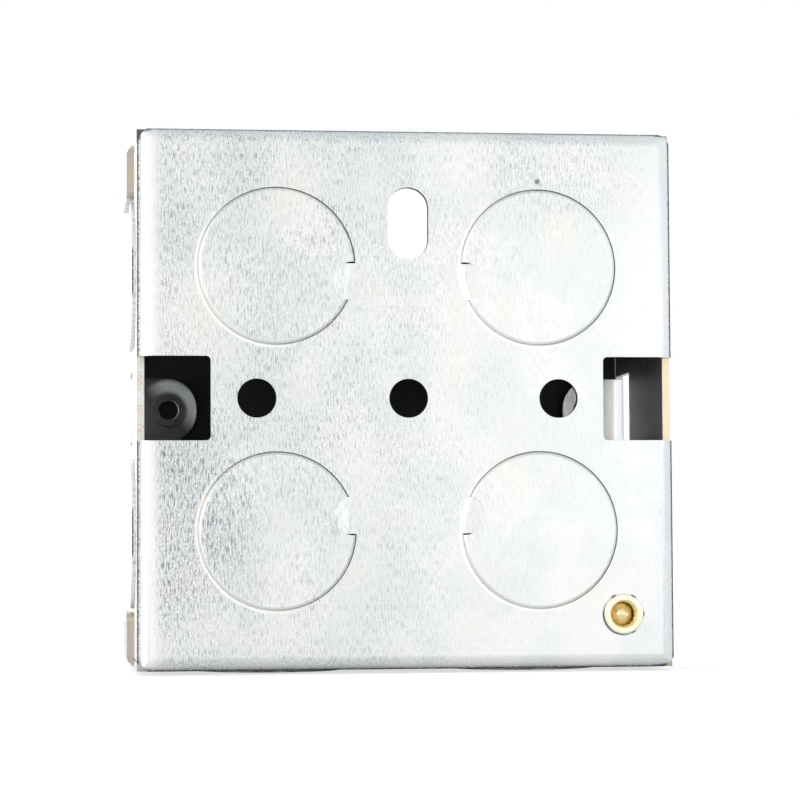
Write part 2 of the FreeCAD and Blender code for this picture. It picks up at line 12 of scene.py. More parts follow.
import bmesh
import bpy
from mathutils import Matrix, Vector


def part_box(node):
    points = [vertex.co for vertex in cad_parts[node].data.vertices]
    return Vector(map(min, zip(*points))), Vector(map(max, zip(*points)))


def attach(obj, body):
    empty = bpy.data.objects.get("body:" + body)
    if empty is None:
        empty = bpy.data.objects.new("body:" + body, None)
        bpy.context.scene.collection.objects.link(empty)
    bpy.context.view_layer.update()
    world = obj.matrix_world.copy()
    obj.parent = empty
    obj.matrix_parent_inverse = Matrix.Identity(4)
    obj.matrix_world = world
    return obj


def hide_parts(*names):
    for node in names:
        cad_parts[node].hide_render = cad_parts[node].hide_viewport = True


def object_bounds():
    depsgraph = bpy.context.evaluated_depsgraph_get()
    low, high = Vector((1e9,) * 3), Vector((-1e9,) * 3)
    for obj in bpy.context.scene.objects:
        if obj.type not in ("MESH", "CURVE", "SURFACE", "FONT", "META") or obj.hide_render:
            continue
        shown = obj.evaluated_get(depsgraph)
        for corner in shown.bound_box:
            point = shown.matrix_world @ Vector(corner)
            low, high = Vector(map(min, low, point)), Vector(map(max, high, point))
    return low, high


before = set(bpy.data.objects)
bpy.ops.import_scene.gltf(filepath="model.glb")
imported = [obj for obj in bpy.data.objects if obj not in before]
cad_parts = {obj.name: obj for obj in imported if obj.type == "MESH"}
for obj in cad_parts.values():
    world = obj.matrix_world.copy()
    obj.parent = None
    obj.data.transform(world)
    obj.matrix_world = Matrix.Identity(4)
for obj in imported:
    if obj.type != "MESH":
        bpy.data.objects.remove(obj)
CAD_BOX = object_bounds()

LOG = logging.getLogger("flush_back_box")

MM = 0.001
BODY = "root"
STEEL_SLOT = "galvanised_steel"
BRASS_SLOT = "brass"
SCREW_SLOT = "brass_screw"
# Middle of each back knockout, to the side of the plate's middle and above or below it.
KNOCKOUT_MM = 17.3

Colour = tuple[float, float, float]
Profile = list[tuple[float, float]]
# A smooth step: where it starts and ends, and the result at its start and at its end.
Slope = tuple[float, float, float, float]
# Smooth steps that mark out a region together: a coordinate's name, and where its step starts and ends.
Region = tuple[tuple[str, float, float], ...]
# A relief: its depth in millimetres, and the share of it that shows.
Relief = tuple[float, float]
Socket = bpy.types.NodeSocket
Feed = Union[Socket, float, int, bool, str, Sequence[float], bpy.types.Material]


class Blend(Enum):
    """What a mix node mixes: its data type, and the places of its two inputs and its output."""

    COLOURS = ("RGBA", 6, 7, 2)
    VECTORS = ("VECTOR", 4, 5, 1)


class Graph:
    """A node tree under construction, with a short call for each kind of node that the finishes share."""

    def __init__(self, tree: bpy.types.NodeTree) -> None:
        """Start from an empty tree.

        Args:
            tree: the tree to fill; its own first nodes are removed.
        """
        self.tree = tree
        tree.nodes.clear()

    def node(self, kind: str, inputs: Optional[dict[Any, Feed]] = None, **settings: Any) -> bpy.types.Node:
        """Add one node.

        Args:
            kind: Blender's name for the kind of node.
            inputs: what feeds its inputs, by name or place: another node's socket, or a value.
            **settings: the node's own properties.

        Returns:
            The new node.
        """
        made = self.tree.nodes.new(kind)
        for name, value in settings.items():
            setattr(made, name, value)
        for name, value in (inputs or {}).items():
            self.feed(made.inputs[name], value)
        return made

    def result(self, kind: str, inputs: Optional[dict[Any, Feed]] = None, **settings: Any) -> Socket:
        """First output of a new node, which takes what node takes."""
        return self.node(kind, inputs, **settings).outputs[0]

    def feed(self, socket: Socket, value: Feed) -> None:
        """Link a socket to another one, or set its value.

        Args:
            socket: the input to feed.
            value: another node's socket, or a value; a colour has three parts.
        """
        if isinstance(value, bpy.types.NodeSocket):
            self.tree.links.new(value, socket)
        elif socket.type == "RGBA":
            socket.default_value = (*value, 1.0)
        else:
            socket.default_value = value

    def maths(self, operation: str, first: Feed, second: Feed = 0.0) -> Socket:
        """Arithmetic on one or two numbers.

        Args:
            operation: Blender's name for the operation.
            first: the first number.
            second: the second number, where the operation has one.

        Returns:
            The result's socket.
        """
        return self.result("ShaderNodeMath", {0: first, 1: second}, operation=operation)

    def chain(self, operation: str, *parts: Feed) -> Socket:
        """One operation, run through several numbers from the first to the last.

        Args:
            operation: Blender's name for the operation.
            *parts: the numbers.

        Returns:
            The result's socket.
        """
        result = parts[0]
        for part in parts[1:]:
            result = self.maths(operation, result, part)
        return result

    def product(self, *factors: Feed) -> Socket:
        """Product of numbers."""
        return self.chain("MULTIPLY", *factors)

    def total(self, *terms: Feed) -> Socket:
        """Sum of numbers."""
        return self.chain("ADD", *terms)

    def spread(self, value: Feed, low: float, high: float, to_low: float = 0.0, to_high: float = 1.0) -> Socket:
        """Smooth step of a number from one range to another.

        Args:
            value: the number.
            low: where the step starts.
            high: where the step ends.
            to_low: result at the start.
            to_high: result at the end.

        Returns:
            The result's socket.
        """
        inputs = {"Value": value, 1: low, 2: high, 3: to_low, 4: to_high}
        return self.result("ShaderNodeMapRange", inputs, interpolation_type="SMOOTHSTEP")

    def blend(self, factor: Feed, first: Feed, second: Feed, kind: Blend = Blend.COLOURS) -> Socket:
        """Mix of two colours or vectors.

        Args:
            factor: share of the second one.
            first: the first one.
            second: the second one.
            kind: what is mixed.

        Returns:
            The mix's socket.
        """
        data_type, low, high, output = kind.value
        made = self.node("ShaderNodeMix", data_type=data_type)
        for place, value in ((0, factor), (low, first), (high, second)):
            self.feed(made.inputs[place], value)
        return made.outputs[output]

    def stretched(self, vector: Feed, per_mm: Sequence[float], shift: Sequence[float] = (0, 0, 0)) -> Socket:
        """Object coordinates turned into pattern coordinates.

        Args:
            vector: coordinates in metres.
            per_mm: pattern cells to a millimetre, along each axis.
            shift: move of the pattern, in cells.

        Returns:
            The pattern coordinates' socket.
        """
        scale = [cells / MM for cells in per_mm]
        return self.result("ShaderNodeMapping", {"Vector": vector, "Location": shift, "Scale": scale})

    def noise(self, vector: Feed, detail: float = 2.0, roughness: float = 0.5) -> Socket:
        """Noise of one cell to a unit of the given coordinates, from 0 to 1."""
        inputs = {"Vector": vector, "Scale": 1.0, "Detail": detail, "Roughness": roughness}
        return self.result("ShaderNodeTexNoise", inputs)

    def axes(self, vector: Feed) -> Sequence[Socket]:
        """The three numbers of a vector."""
        return self.node("ShaderNodeSeparateXYZ", {0: vector}).outputs

    def distance(self, vector: Feed, place_mm: Sequence[float]) -> Socket:
        """Distance from a place on the object.

        Args:
            vector: coordinates in metres.
            place_mm: the place, in millimetres.

        Returns:
            The distance's socket, in millimetres.
        """
        place = [part * MM for part in place_mm]
        made = self.node("ShaderNodeVectorMath", {0: vector, 1: place}, operation="DISTANCE")
        return self.maths("DIVIDE", made.outputs["Value"], MM)

    def bump(self, height: Feed, relief: Relief, normal: Optional[Socket] = None) -> Socket:
        """Relief of a surface.

        Args:
            height: the height pattern, from 0 to 1.
            relief: depth from the pattern's lowest to its highest place, and the share that shows.
            normal: relief under this one.

        Returns:
            The normal's socket.
        """
        depth_mm, strength = relief
        inputs = {"Height": height, "Distance": depth_mm * MM, "Strength": strength}
        if normal is not None:
            inputs["Normal"] = normal
        return self.result("ShaderNodeBump", inputs)

    def metal(self, tone: Feed, roughness: Feed, normal: Socket, bare: Feed = 1.0) -> None:
        """Finish the tree as a metal.

        Args:
            tone: its colour.
            roughness: its roughness.
            normal: its relief.
            bare: share of the surface that shades as bare metal; the rest shades as a non-metal.
        """
        inputs = {"Base Color": tone, "Metallic": bare, "Roughness": roughness, "Normal": normal}
        self.end(self.result("ShaderNodeBsdfPrincipled", inputs))

    def mixed(self, factor: Feed, first: Socket, second: Socket) -> Socket:
        """Mix of two shaders, with the factor as the share of the second one."""
        return self.result("ShaderNodeMixShader", {0: factor, 1: first, 2: second})

    def end(self, shader: Socket) -> None:
        """Finish a material's tree with its shader."""
        self.node("ShaderNodeOutputMaterial", {"Surface": shader})


def new_material(name: str) -> tuple[bpy.types.Material, Graph]:
    """Material with an empty node tree.

    Args:
        name: the material's name.

    Returns:
        The material, and the graph that fills its tree.
    """
    material = bpy.data.materials.new(name)
    material.use_nodes = True
    return material, Graph(material.node_tree)


class Spot:
    """The point that a tree shades, by named coordinates."""

    def __init__(self, graph: Graph, **coordinates: Socket) -> None:
        """Name the point's coordinates.

        Args:
            graph: the tree's graph.
            **coordinates: the socket of each coordinate.
        """
        self.graph = graph
        self.at = coordinates

    def within(self, region: Region) -> Socket:
        """Share of a region, as a product of smooth steps from 0 to 1.

        Args:
            region: for each step, its coordinate's name, and where it starts and ends.

        Returns:
            The share, from 0 to 1.
        """
        return self.graph.product(*(self.graph.spread(self.at[name], *ends) for name, *ends in region))


class SheetSpot(Spot):
    """A point of the folded sheet, in millimetres, with its place by the nearest back knockout."""

    corner_gap_region: Region = (("corner", 33.3, 34.1), ("depth", -0.4, -0.9), ("depth", -4.5, -3.0))
    upper_right: Region = (("across", -1.0, 1.0), ("up", -1.0, 1.0))
    lean_by_height: float = 0.6
    least_gap_shade: float = 0.45

    def __init__(self, graph: Graph, place: Socket) -> None:
        """Work out the coordinates.

        Args:
            graph: the material's graph.
            place: object coordinates.
        """
        across, depth, up = (graph.maths("DIVIDE", part, MM) for part in graph.axes(place))
        side, rise = (graph.maths("ABSOLUTE", part) for part in (across, up))
        super().__init__(graph, across=across, depth=depth, up=up, side=side, rise=rise)
        self.place = place
        self.at["corner"] = graph.maths("MINIMUM", side, rise)
        offsets = []
        for part in (across, up):
            middle = graph.product(graph.maths("SIGN", part), KNOCKOUT_MM)
            offsets.append(graph.maths("SUBTRACT", part, middle))
        squares = [graph.product(offset, offset) for offset in offsets]
        self.at["reach"] = graph.maths("SQRT", graph.total(*squares))
        lifted = graph.product(offsets[1], self.lean_by_height)
        self.at["lean"] = graph.maths("SUBTRACT", offsets[0], lifted)

    def corner_gap(self) -> Socket:
        """Share of the shade in the gap at each corner of the back plate.

        Returns:
            The share, whole at the upper corner by the right-hand lug and weaker at the others.
        """
        strength = self.graph.spread(self.within(self.upper_right), 0.0, 1.0, self.least_gap_shade, 1.0)
        return self.graph.product(self.within(self.corner_gap_region), strength)


class Finish:
    """A finish of the object: a named material, painted on object coordinates."""

    name: str

    def material(self) -> bpy.types.Material:
        """Build the finish.

        Returns:
            The painted material.
        """
        material, graph = new_material(self.name)
        self.paint(graph, graph.node("ShaderNodeTexCoord").outputs["Object"])
        return material

    def paint(self, graph: Graph, place: Socket) -> None:
        """Fill the material's tree.

        Args:
            graph: the material's graph.
            place: object coordinates.
        """
        raise NotImplementedError


@dataclass(frozen=True)
class GalvanisedSteel(Finish):
    """Zinc-coated sheet: pale and cloudy, with short rolling marks that run up the back plate."""

    name: str = "zinc_coat"
    roughness: float = 0.36
    # Tones of the coat, of its marks, of its painted shade, of the painted shade and highlight on a lug, and of
    # its painted highlight.
    pale: Colour = (0.885, 0.885, 0.872)
    cool: Colour = (0.80, 0.825, 0.82)
    warm: Colour = (0.87, 0.84, 0.775)
    rose: Colour = (0.88, 0.83, 0.835)
    mark: Colour = (0.20, 0.225, 0.235)
    fine_mark: Colour = (0.42, 0.45, 0.455)
    painted_shade: Colour = (0.040, 0.052, 0.080)
    painted_lug_shade: Colour = (0.055, 0.055, 0.065)
    painted_lug_highlight: Colour = (0.90, 0.94, 0.95)
    painted_highlight: Colour = (0.97, 0.96, 0.935)
    # The patterns' cells to a millimetre and their places, and the shares of the tones in them.
    marks_per_mm: tuple[float, float] = (5.6, 0.9)
    fine_marks_per_mm: tuple[float, float] = (7.5, 3.2)
    cloud_per_mm: tuple[float, float, float] = (0.075, 0.075, 0.075)
    patch_per_mm: tuple[float, float, float] = (0.13, 0.13, 0.1)
    rose_per_mm: tuple[float, float, float] = (0.09, 0.09, 0.12)
    cloud_shift: tuple[float, float, float] = (3.1, 0.0, 7.7)
    patch_shift: tuple[float, float, float] = (0.0, 5.3, 1.9)
    rose_shift: tuple[float, float, float] = (8.2, 0.0, 2.4)
    pale_share: Slope = (0.42, 0.60, 0.0, 1.0)
    rose_share: Slope = (0.55, 0.72, 0.0, 0.45)
    warm_share: Slope = (0.52, 0.72, 0.0, 0.5)
    mark_share: Slope = (0.44, 0.76, 0.0, 0.80)
    fine_mark_share: Slope = (0.35, 0.75, 0.0, 0.60)
    mark_roughness: float = 0.15
    cloud_roughness: float = 0.10
    mark_relief: Relief = (0.006, 0.25)
    cloud_relief: Relief = (0.20, 0.30)
    # Wear, by how far across, up the plate, in the patches, by the bend, where the marks fade under the painted
    # highlight along the fold, on the discs and on the walls.
    wear_across: Slope = (-30.0, 30.0, 0.06, 0.9)
    wear_by_height: float = 0.15
    wear_in_patches: Slope = (0.66, 0.36, 0.45, 0.95)
    marks_fade_by_fold: Slope = (31.8, 33.4, 1.0, 0.2)
    wear_on_discs: Slope = (10.4, 10.1, 1.0, 0.78)
    wear_on_walls: Slope = (-2.5, -1.5, 0.5, 1.0)
    # Each spot's middle, its reach, where it is whole, and its wear.
    rough_spots_mm: tuple[tuple[float, ...], ...] = (
        (33.0, 0.0, -17.0, 17.0, 5.0, 0.75),
        (-20.5, 0.0, 32.0, 14.0, 5.0, 0.36),
    )
    # Painted shade: a dark line along each bend; it frays, less on the left-hand side, where it also lies
    # nearer the plate.
    fray_mm: Slope = (0.2, 0.8, -0.25, 0.25)
    fray_by_side: Slope = (-34.0, -32.0, 0.4, 1.0)
    line_shift_mm: Slope = (-32.0, -34.0, 0.0, -0.3)
    bend_shade: Region = (("line", -0.95, -1.15), ("line", -2.0, -1.8), ("edge", 34.7, 35.0))
    bend_shade_share: float = 0.95
    bend_shade_roughness: float = 0.40
    # Painted shade round the terminal's rim, and at the six corners of the hole that it covers.
    terminal_mm: tuple[float, float, float] = (-28.33, 0.0, -28.4)
    rim_share: Slope = (2.91, 2.66, 0.0, 1.0)
    rim_lower_side: Slope = (-1.0, 3.5, 0.05, 0.95)
    hole_corners: float = 6.0
    rim_corner: Slope = (0.55, 0.9, 0.0, 1.0)
    # The lugs' rear faces: painted shade on the right-hand one with a painted highlight on its collar, and a
    # painted highlight on the left-hand one.
    lug_face: Region = (("depth", -32.2, -31.8), ("depth", -29.5, -30.5), ("rise", 6.0, 5.2))
    right_lug: Slope = (22.0, 25.0, 0.0, 0.95)
    left_lug: Slope = (-22.0, -25.0, 0.0, 1.0)
    lug_hole_mm: tuple[float, float, float] = (30.15, -31.2, 0.0)
    lit_collar: Region = (("collar", 2.1, 3.0), ("collar", 4.6, 3.8), ("slope", -1.0, 4.5))
    # Painted shade on the side discs' rims and in the corners' gaps, and painted highlight bands by the
    # knockouts and along the right-hand fold.
    disc_rim: Region = (
        ("facing", 0.6, 0.9),
        ("side", 35.62, 35.74),
        ("depth", -8.0, -7.6),
        ("rise", 27.8, 27.4),
    )
    disc_rim_share: float = 0.9
    corner_share: float = 0.85
    band_mm: float = 10.3
    band: Region = (("from_band", 0.62, 0.2), ("lean", 0.0, 9.0))
    band_share: float = 0.9
    fold_highlight: Slope = (32.7, 34.0, 0.0, 0.9)
    on_plate: Region = (("depth", -0.7, -0.3),)
    # One dark speck above a knockout.
    speck_mm: tuple[float, float, float] = (-17.3, 0.0, 28.7)
    speck_fray_mm: float = 0.5
    speck_share: Slope = (0.74, 0.44, 0.0, 0.95)

    def grain(self, spot: SheetSpot, facing_up: Socket, cells: tuple[float, float], detail: float) -> Socket:
        """Noise stretched along the rolling direction, which turns with each fold of the sheet.

        Args:
            spot: the shaded point.
            facing_up: height of the surface's direction.
            cells: pattern cells to a millimetre, across the rolling direction and along it.
            detail: the noise's detail.

        Returns:
            Noise with long cells up the back plate and the side walls, and front to back along the top and
            bottom walls.
        """
        graph = spot.graph
        across, along = cells
        upright = graph.stretched(spot.place, (across, across, along))
        lengthwise = graph.stretched(spot.place, (across, along, across))
        on_end_walls = graph.maths("GREATER_THAN", graph.maths("ABSOLUTE", facing_up), math.sin(math.pi / 4))
        return graph.noise(graph.blend(on_end_walls, upright, lengthwise, Blend.VECTORS), detail=detail)

    def base_tone(self, spot: SheetSpot, cloud: Socket, patches: Socket) -> Socket:
        """Cloudy colour of the coat, before its marks.

        Args:
            spot: the shaded point.
            cloud: slow noise.
            patches: noise of about twice the cloud's pace.

        Returns:
            The colour's socket.
        """
        graph = spot.graph
        rosy = graph.noise(graph.stretched(spot.place, self.rose_per_mm, self.rose_shift))
        tone = graph.blend(graph.spread(cloud, *self.pale_share), self.cool, self.pale)
        tone = graph.blend(graph.spread(rosy, *self.rose_share), tone, self.rose)
        return graph.blend(graph.spread(patches, *self.warm_share), tone, self.warm)

    def wear(self, spot: SheetSpot, patches: Socket) -> Socket:
        """How strongly the marks show: in patches, and more towards the side with the right-hand lug.

        Args:
            spot: the shaded point.
            patches: patch noise.

        Returns:
            Share from 0 to 1.
        """
        graph, at = spot.graph, spot.at
        sideways = graph.total(at["across"], graph.product(at["up"], self.wear_by_height))
        dense = graph.spread(patches, *self.wear_in_patches)
        worn = graph.product(graph.spread(sideways, *self.wear_across), dense)
        for *middle, reach, whole, share in self.rough_spots_mm:
            rough = graph.spread(graph.distance(spot.place, middle), reach, whole, 0.0, share)
            worn = graph.total(worn, rough)
        by_place = (
            graph.spread(at["across"], *self.marks_fade_by_fold),
            graph.spread(at["reach"], *self.wear_on_discs),
            graph.spread(at["depth"], *self.wear_on_walls),
        )
        return graph.product(worn, *by_place)

    def bend_shade_line(self, spot: SheetSpot, ragged: Socket) -> Socket:
        """Painted shade: a dark line along each bend of the back plate.

        Args:
            spot: the shaded point.
            ragged: fine noise that frays the line.

        Returns:
            Share of the painted shade line, from 0 to 1.
        """
        graph, at = spot.graph, spot.at
        by_side = graph.spread(at["across"], *self.fray_by_side)
        fray = graph.product(graph.spread(ragged, *self.fray_mm), by_side)
        at["line"] = graph.total(at["depth"], fray, graph.spread(at["across"], *self.line_shift_mm))
        at["edge"] = graph.maths("MAXIMUM", at["side"], at["rise"])
        return graph.product(spot.within(self.bend_shade), self.bend_shade_share)

    def terminal_gap(self, spot: SheetSpot) -> Socket:
        """Shade round the terminal's rim: along its lower side, and at the corners of the hexagonal hole.

        Args:
            spot: the shaded point.

        Returns:
            Share of the shade, from 0 to 1.
        """
        graph, at = spot.graph, spot.at
        aside = graph.maths("SUBTRACT", at["across"], self.terminal_mm[0])
        above = graph.maths("SUBTRACT", at["up"], self.terminal_mm[2])
        lower_side = graph.spread(graph.maths("SUBTRACT", aside, above), *self.rim_lower_side)
        turns = graph.product(graph.maths("ARCTAN2", above, aside), self.hole_corners)
        at_corner = graph.spread(graph.maths("COSINE", turns), *self.rim_corner)
        rim = graph.spread(graph.distance(spot.place, self.terminal_mm), *self.rim_share)
        return graph.product(rim, graph.maths("MAXIMUM", lower_side, at_corner))

    def with_lugs(self, spot: SheetSpot, tone: Socket) -> Socket:
        """The lugs' rear faces: painted shade on the right-hand one with a painted highlight on its collar, and
        a painted highlight on the left-hand one.

        Args:
            spot: the shaded point.
            tone: the coat's colour.

        Returns:
            The colour with its lugs.
        """
        graph, at = spot.graph, spot.at
        at["collar"] = graph.distance(spot.place, self.lug_hole_mm)
        aside = graph.maths("SUBTRACT", at["across"], self.lug_hole_mm[0])
        at["slope"] = graph.maths("SUBTRACT", at["up"], aside)
        face = spot.within(self.lug_face)
        right, left = (graph.spread(at["across"], *lug) for lug in (self.right_lug, self.left_lug))
        collar = graph.blend(spot.within(self.lit_collar), self.painted_lug_shade, self.painted_lug_highlight)
        tone = graph.blend(graph.product(face, right), tone, collar)
        return graph.blend(graph.product(face, left), tone, self.painted_highlight)

    def highlight_bands(self, spot: SheetSpot) -> Socket:
        """Painted highlight bands on one side of each knockout's rim and along the right-hand fold.

        Args:
            spot: the shaded point.

        Returns:
            Share of the bands, from 0 to 1.
        """
        graph, at = spot.graph, spot.at
        at["from_band"] = graph.maths("ABSOLUTE", graph.maths("SUBTRACT", at["reach"], self.band_mm))
        band = graph.product(spot.within(self.band), self.band_share)
        fold = graph.spread(at["across"], *self.fold_highlight)
        return graph.product(graph.maths("MAXIMUM", band, fold), spot.within(self.on_plate))

    def paint(self, graph: Graph, place: Socket) -> None:
        """Fill the material's tree.

        Args:
            graph: the material's graph.
            place: object coordinates.
        """
        spot = SheetSpot(graph, place)
        _, spot.at["facing"], facing_up = graph.axes(graph.node("ShaderNodeNewGeometry").outputs["True Normal"])
        cloud = graph.noise(graph.stretched(place, self.cloud_per_mm, self.cloud_shift), detail=3.0)
        patches = graph.noise(graph.stretched(place, self.patch_per_mm, self.patch_shift), detail=3.0)
        coarse = self.grain(spot, facing_up, self.marks_per_mm, 1.0)
        fine = self.grain(spot, facing_up, self.fine_marks_per_mm, 0.0)
        wear = self.wear(spot, patches)
        marks = graph.spread(coarse, *self.mark_share)
        speck = graph.total(graph.distance(place, self.speck_mm), graph.product(coarse, self.speck_fray_mm))
        bend_shade = self.bend_shade_line(spot, fine)
        tone = self.base_tone(spot, cloud, patches)
        tone = graph.blend(graph.product(graph.spread(fine, *self.fine_mark_share), wear), tone, self.fine_mark)
        tone = graph.blend(graph.product(marks, wear), tone, self.mark)
        tone = graph.blend(graph.spread(speck, *self.speck_share), tone, self.mark)
        # Painted highlight bands, painted shade round the terminal's rim, and the lugs' painted shade and
        # highlights.
        tone = graph.blend(self.highlight_bands(spot), tone, self.painted_highlight)
        tone = graph.blend(self.terminal_gap(spot), tone, self.painted_shade)
        tone = self.with_lugs(spot, tone)
        # Painted shade on the side discs' rims, in the corners' gaps and along the bends.
        painted_shade_lines = (
            graph.product(spot.within(self.disc_rim), self.disc_rim_share),
            graph.product(spot.corner_gap(), self.corner_share),
            bend_shade,
        )
        for line in painted_shade_lines:
            tone = graph.blend(line, tone, self.painted_shade)
        uneven = (
            graph.product(marks, self.mark_roughness),
            graph.product(cloud, self.cloud_roughness),
            graph.product(bend_shade, self.bend_shade_roughness),
        )
        rough = graph.total(*uneven, self.roughness)
        relief = graph.bump(cloud, self.cloud_relief, graph.bump(coarse, self.mark_relief))
        # The bends' painted shade line also shades as a non-metal, so it stays dark at grazing angles.
        graph.metal(tone, rough, relief, graph.maths("SUBTRACT", 1.0, bend_shade))


@dataclass(frozen=True)
class ShearedEdge(Finish):
    """Cut edge of the sheet: bare steel with torn specks and a little rust, with painted shade down in the
    gaps.
    """

    name: str = "sheared_edge"
    roughness: float = 0.42
    steel: Colour = (0.80, 0.79, 0.765)
    torn: Colour = (0.40, 0.37, 0.33)
    tan: Colour = (0.74, 0.66, 0.54)
    orange: Colour = (0.93, 0.80, 0.58)
    brown: Colour = (0.50, 0.44, 0.36)
    painted_gap_shade: Colour = (0.07, 0.055, 0.05)
    marks_per_mm: float = 3.0
    uneven: float = 0.2
    relief: Relief = (0.04, 0.4)
    tan_per_mm: float = 0.35
    tan_share: Slope = (0.40, 0.62, 0.0, 0.7)
    torn_share: Slope = (0.52, 0.74, 0.0, 0.7)
    # Rust on the left-hand notch's strip and on the rear ends of the corner tabs.
    notch_strip: Region = (("across", -33.5, -34.2), ("depth", -4.0, -3.0))
    notch_share: float = 0.9
    tab_ends: Region = (("depth", -15.0, -15.8), ("depth", -17.5, -16.5))
    tab_share: float = 0.85
    # Painted shade down in the plate's gaps, but not on the knockouts' own edges or on the gaps' lit side, and
    # in the corners' gaps.
    plate_mm: float = -1.1
    gap: Region = (("reach", 10.24, 10.32), ("depth", 0.05, -0.15))
    lit_side: Region = (("reach", 10.7, 10.5), ("lean", -3.0, 3.0))
    gap_shade_share: float = 0.95
    corner_share: float = 0.9

    def paint(self, graph: Graph, place: Socket) -> None:
        """Fill the material's tree.

        Args:
            graph: the material's graph.
            place: object coordinates.
        """
        spot = SheetSpot(graph, place)
        fine = graph.noise(graph.stretched(place, (self.marks_per_mm,) * 3), detail=3.0, roughness=0.7)
        slow = graph.noise(graph.stretched(place, (self.tan_per_mm,) * 3), detail=2.0)
        in_plate = graph.maths("GREATER_THAN", spot.at["depth"], self.plate_mm)
        unlit = graph.maths("SUBTRACT", 1.0, spot.within(self.lit_side))
        layers = (
            (graph.spread(slow, *self.tan_share), self.tan),
            (graph.spread(fine, *self.torn_share), self.torn),
            (graph.product(spot.within(self.notch_strip), self.notch_share), self.orange),
            (graph.product(spot.within(self.tab_ends), self.tab_share), self.brown),
            # Painted shade in the plate's gaps and in the corners' gaps.
            (graph.product(in_plate, spot.within(self.gap), unlit, self.gap_shade_share), self.painted_gap_shade),
            (graph.product(spot.corner_gap(), self.corner_share), self.painted_gap_shade),
        )
        tone = self.steel
        for share, colour in layers:
            tone = graph.blend(share, tone, colour)
        rough = graph.total(graph.product(fine, self.uneven), self.roughness)
        graph.metal(tone, rough, graph.bump(fine, self.relief))


@dataclass(frozen=True)
class WeldedSpot(Finish):
    """Ring that a welding electrode leaves: zinc burnt back to grey and straw-coloured steel."""

    name: str = "weld_heat"
    burnt: Colour = (0.36, 0.35, 0.34)
    straw: Colour = (0.62, 0.54, 0.40)
    blotches_per_mm: float = 1.4
    straw_share: Slope = (0.40, 0.62, 0.0, 1.0)
    roughness: float = 0.5
    uneven: float = 0.2
    relief: Relief = (0.03, 0.6)

    def paint(self, graph: Graph, place: Socket) -> None:
        """Fill the material's tree.

        Args:
            graph: the material's graph.
            place: object coordinates.
        """
        blotch = graph.noise(graph.stretched(place, (self.blotches_per_mm,) * 3), detail=3.0)
        tone = graph.blend(graph.spread(blotch, *self.straw_share), self.burnt, self.straw)
        rough = graph.total(graph.product(blotch, self.uneven), self.roughness)
        graph.metal(tone, rough, graph.bump(blotch, self.relief))


@dataclass(frozen=True)
class TurnedBrass(Finish):
    """Turned brass with fine lathe rings round its axis, and amber tarnish near the bore."""

    name: str
    axis: tuple[float, float]
    bright: Colour = (0.96, 0.88, 0.68)
    golden: Colour = (1.0, 0.88, 0.56)
    amber: Colour = (0.95, 0.60, 0.16)
    golden_inside: Slope = (2.0, 1.75, 0.0, 1.0)
    stains_per_mm: float = 1.5
    stain_shift: tuple[float, float, float] = (0.4, 0.0, 2.0)
    stained: Slope = (0.44, 0.62, 0.0, 1.0)
    tarnish_share: float = 0.5
    tarnish_inside: Slope = (0.0, 1.0, 0.25, 1.0)
    rings_per_mm: float = 9.0
    roughness: float = 0.22
    uneven: float = 0.18
    relief: Relief = (0.008, 0.35)

    def paint(self, graph: Graph, place: Socket) -> None:
        """Fill the material's tree.

        Args:
            graph: the material's graph.
            place: object coordinates.
        """
        centre = (self.axis[0], 0.0, self.axis[1])
        centred = graph.result("ShaderNodeVectorMath", {0: place, 1: centre}, operation="SUBTRACT")
        across, depth, up = graph.axes(centred)
        squares = [graph.product(part, part) for part in (across, up)]
        reach = graph.maths("DIVIDE", graph.maths("SQRT", graph.total(*squares)), MM)
        along = graph.total(reach, graph.maths("DIVIDE", depth, MM))
        rings = graph.result(
            "ShaderNodeTexNoise",
            {"W": graph.product(along, self.rings_per_mm), "Scale": 1.0, "Detail": 2.0},
            noise_dimensions="1D",
        )
        stain_place = graph.stretched(place, (self.stains_per_mm,) * 3, self.stain_shift)
        stain = graph.noise(stain_place, detail=3.0, roughness=0.6)
        inside = graph.spread(reach, *self.golden_inside)
        tarnish = graph.product(
            graph.spread(stain, *self.stained), self.tarnish_share, graph.spread(inside, *self.tarnish_inside)
        )
        tone = graph.blend(tarnish, graph.blend(inside, self.bright, self.golden), self.amber)
        rough = graph.total(graph.product(stain, self.uneven), self.roughness)
        graph.metal(tone, rough, graph.bump(rings, self.relief))


def add_object(name: str, data: bpy.types.ID) -> bpy.types.Object:
    """Link a new object, at the origin.

    Args:
        name: the object's name.
        data: the mesh, lamp or camera that it holds.

    Returns:
        The object.
    """
    made = bpy.data.objects.new(name, data)
    bpy.context.scene.collection.objects.link(made)
    return made


def mesh_of(name: str, corners: Sequence[Sequence[float]], faces: Sequence[Sequence[int]]) -> bpy.types.Mesh:
    """Mesh from corners in millimetres.

    Args:
        name: the mesh's name.
        corners: its corners.
        faces: the corners of each face, by number.

    Returns:
        The mesh, in metres.
    """
    mesh = bpy.data.meshes.new(name)
    mesh.from_pydata([[part * MM for part in corner] for corner in corners], [], faces)
    return mesh


def take_result(piece: bpy.types.Object) -> None:
    """Turn a piece's modifiers into its plain mesh, and remove them.

    Args:
        piece: the object; its mesh is replaced by the evaluated one.
    """
    evaluated = piece.evaluated_get(bpy.context.evaluated_depsgraph_get())
    result = bpy.data.meshes.new_from_object(evaluated)
    piece.modifiers.clear()
    piece.data = result


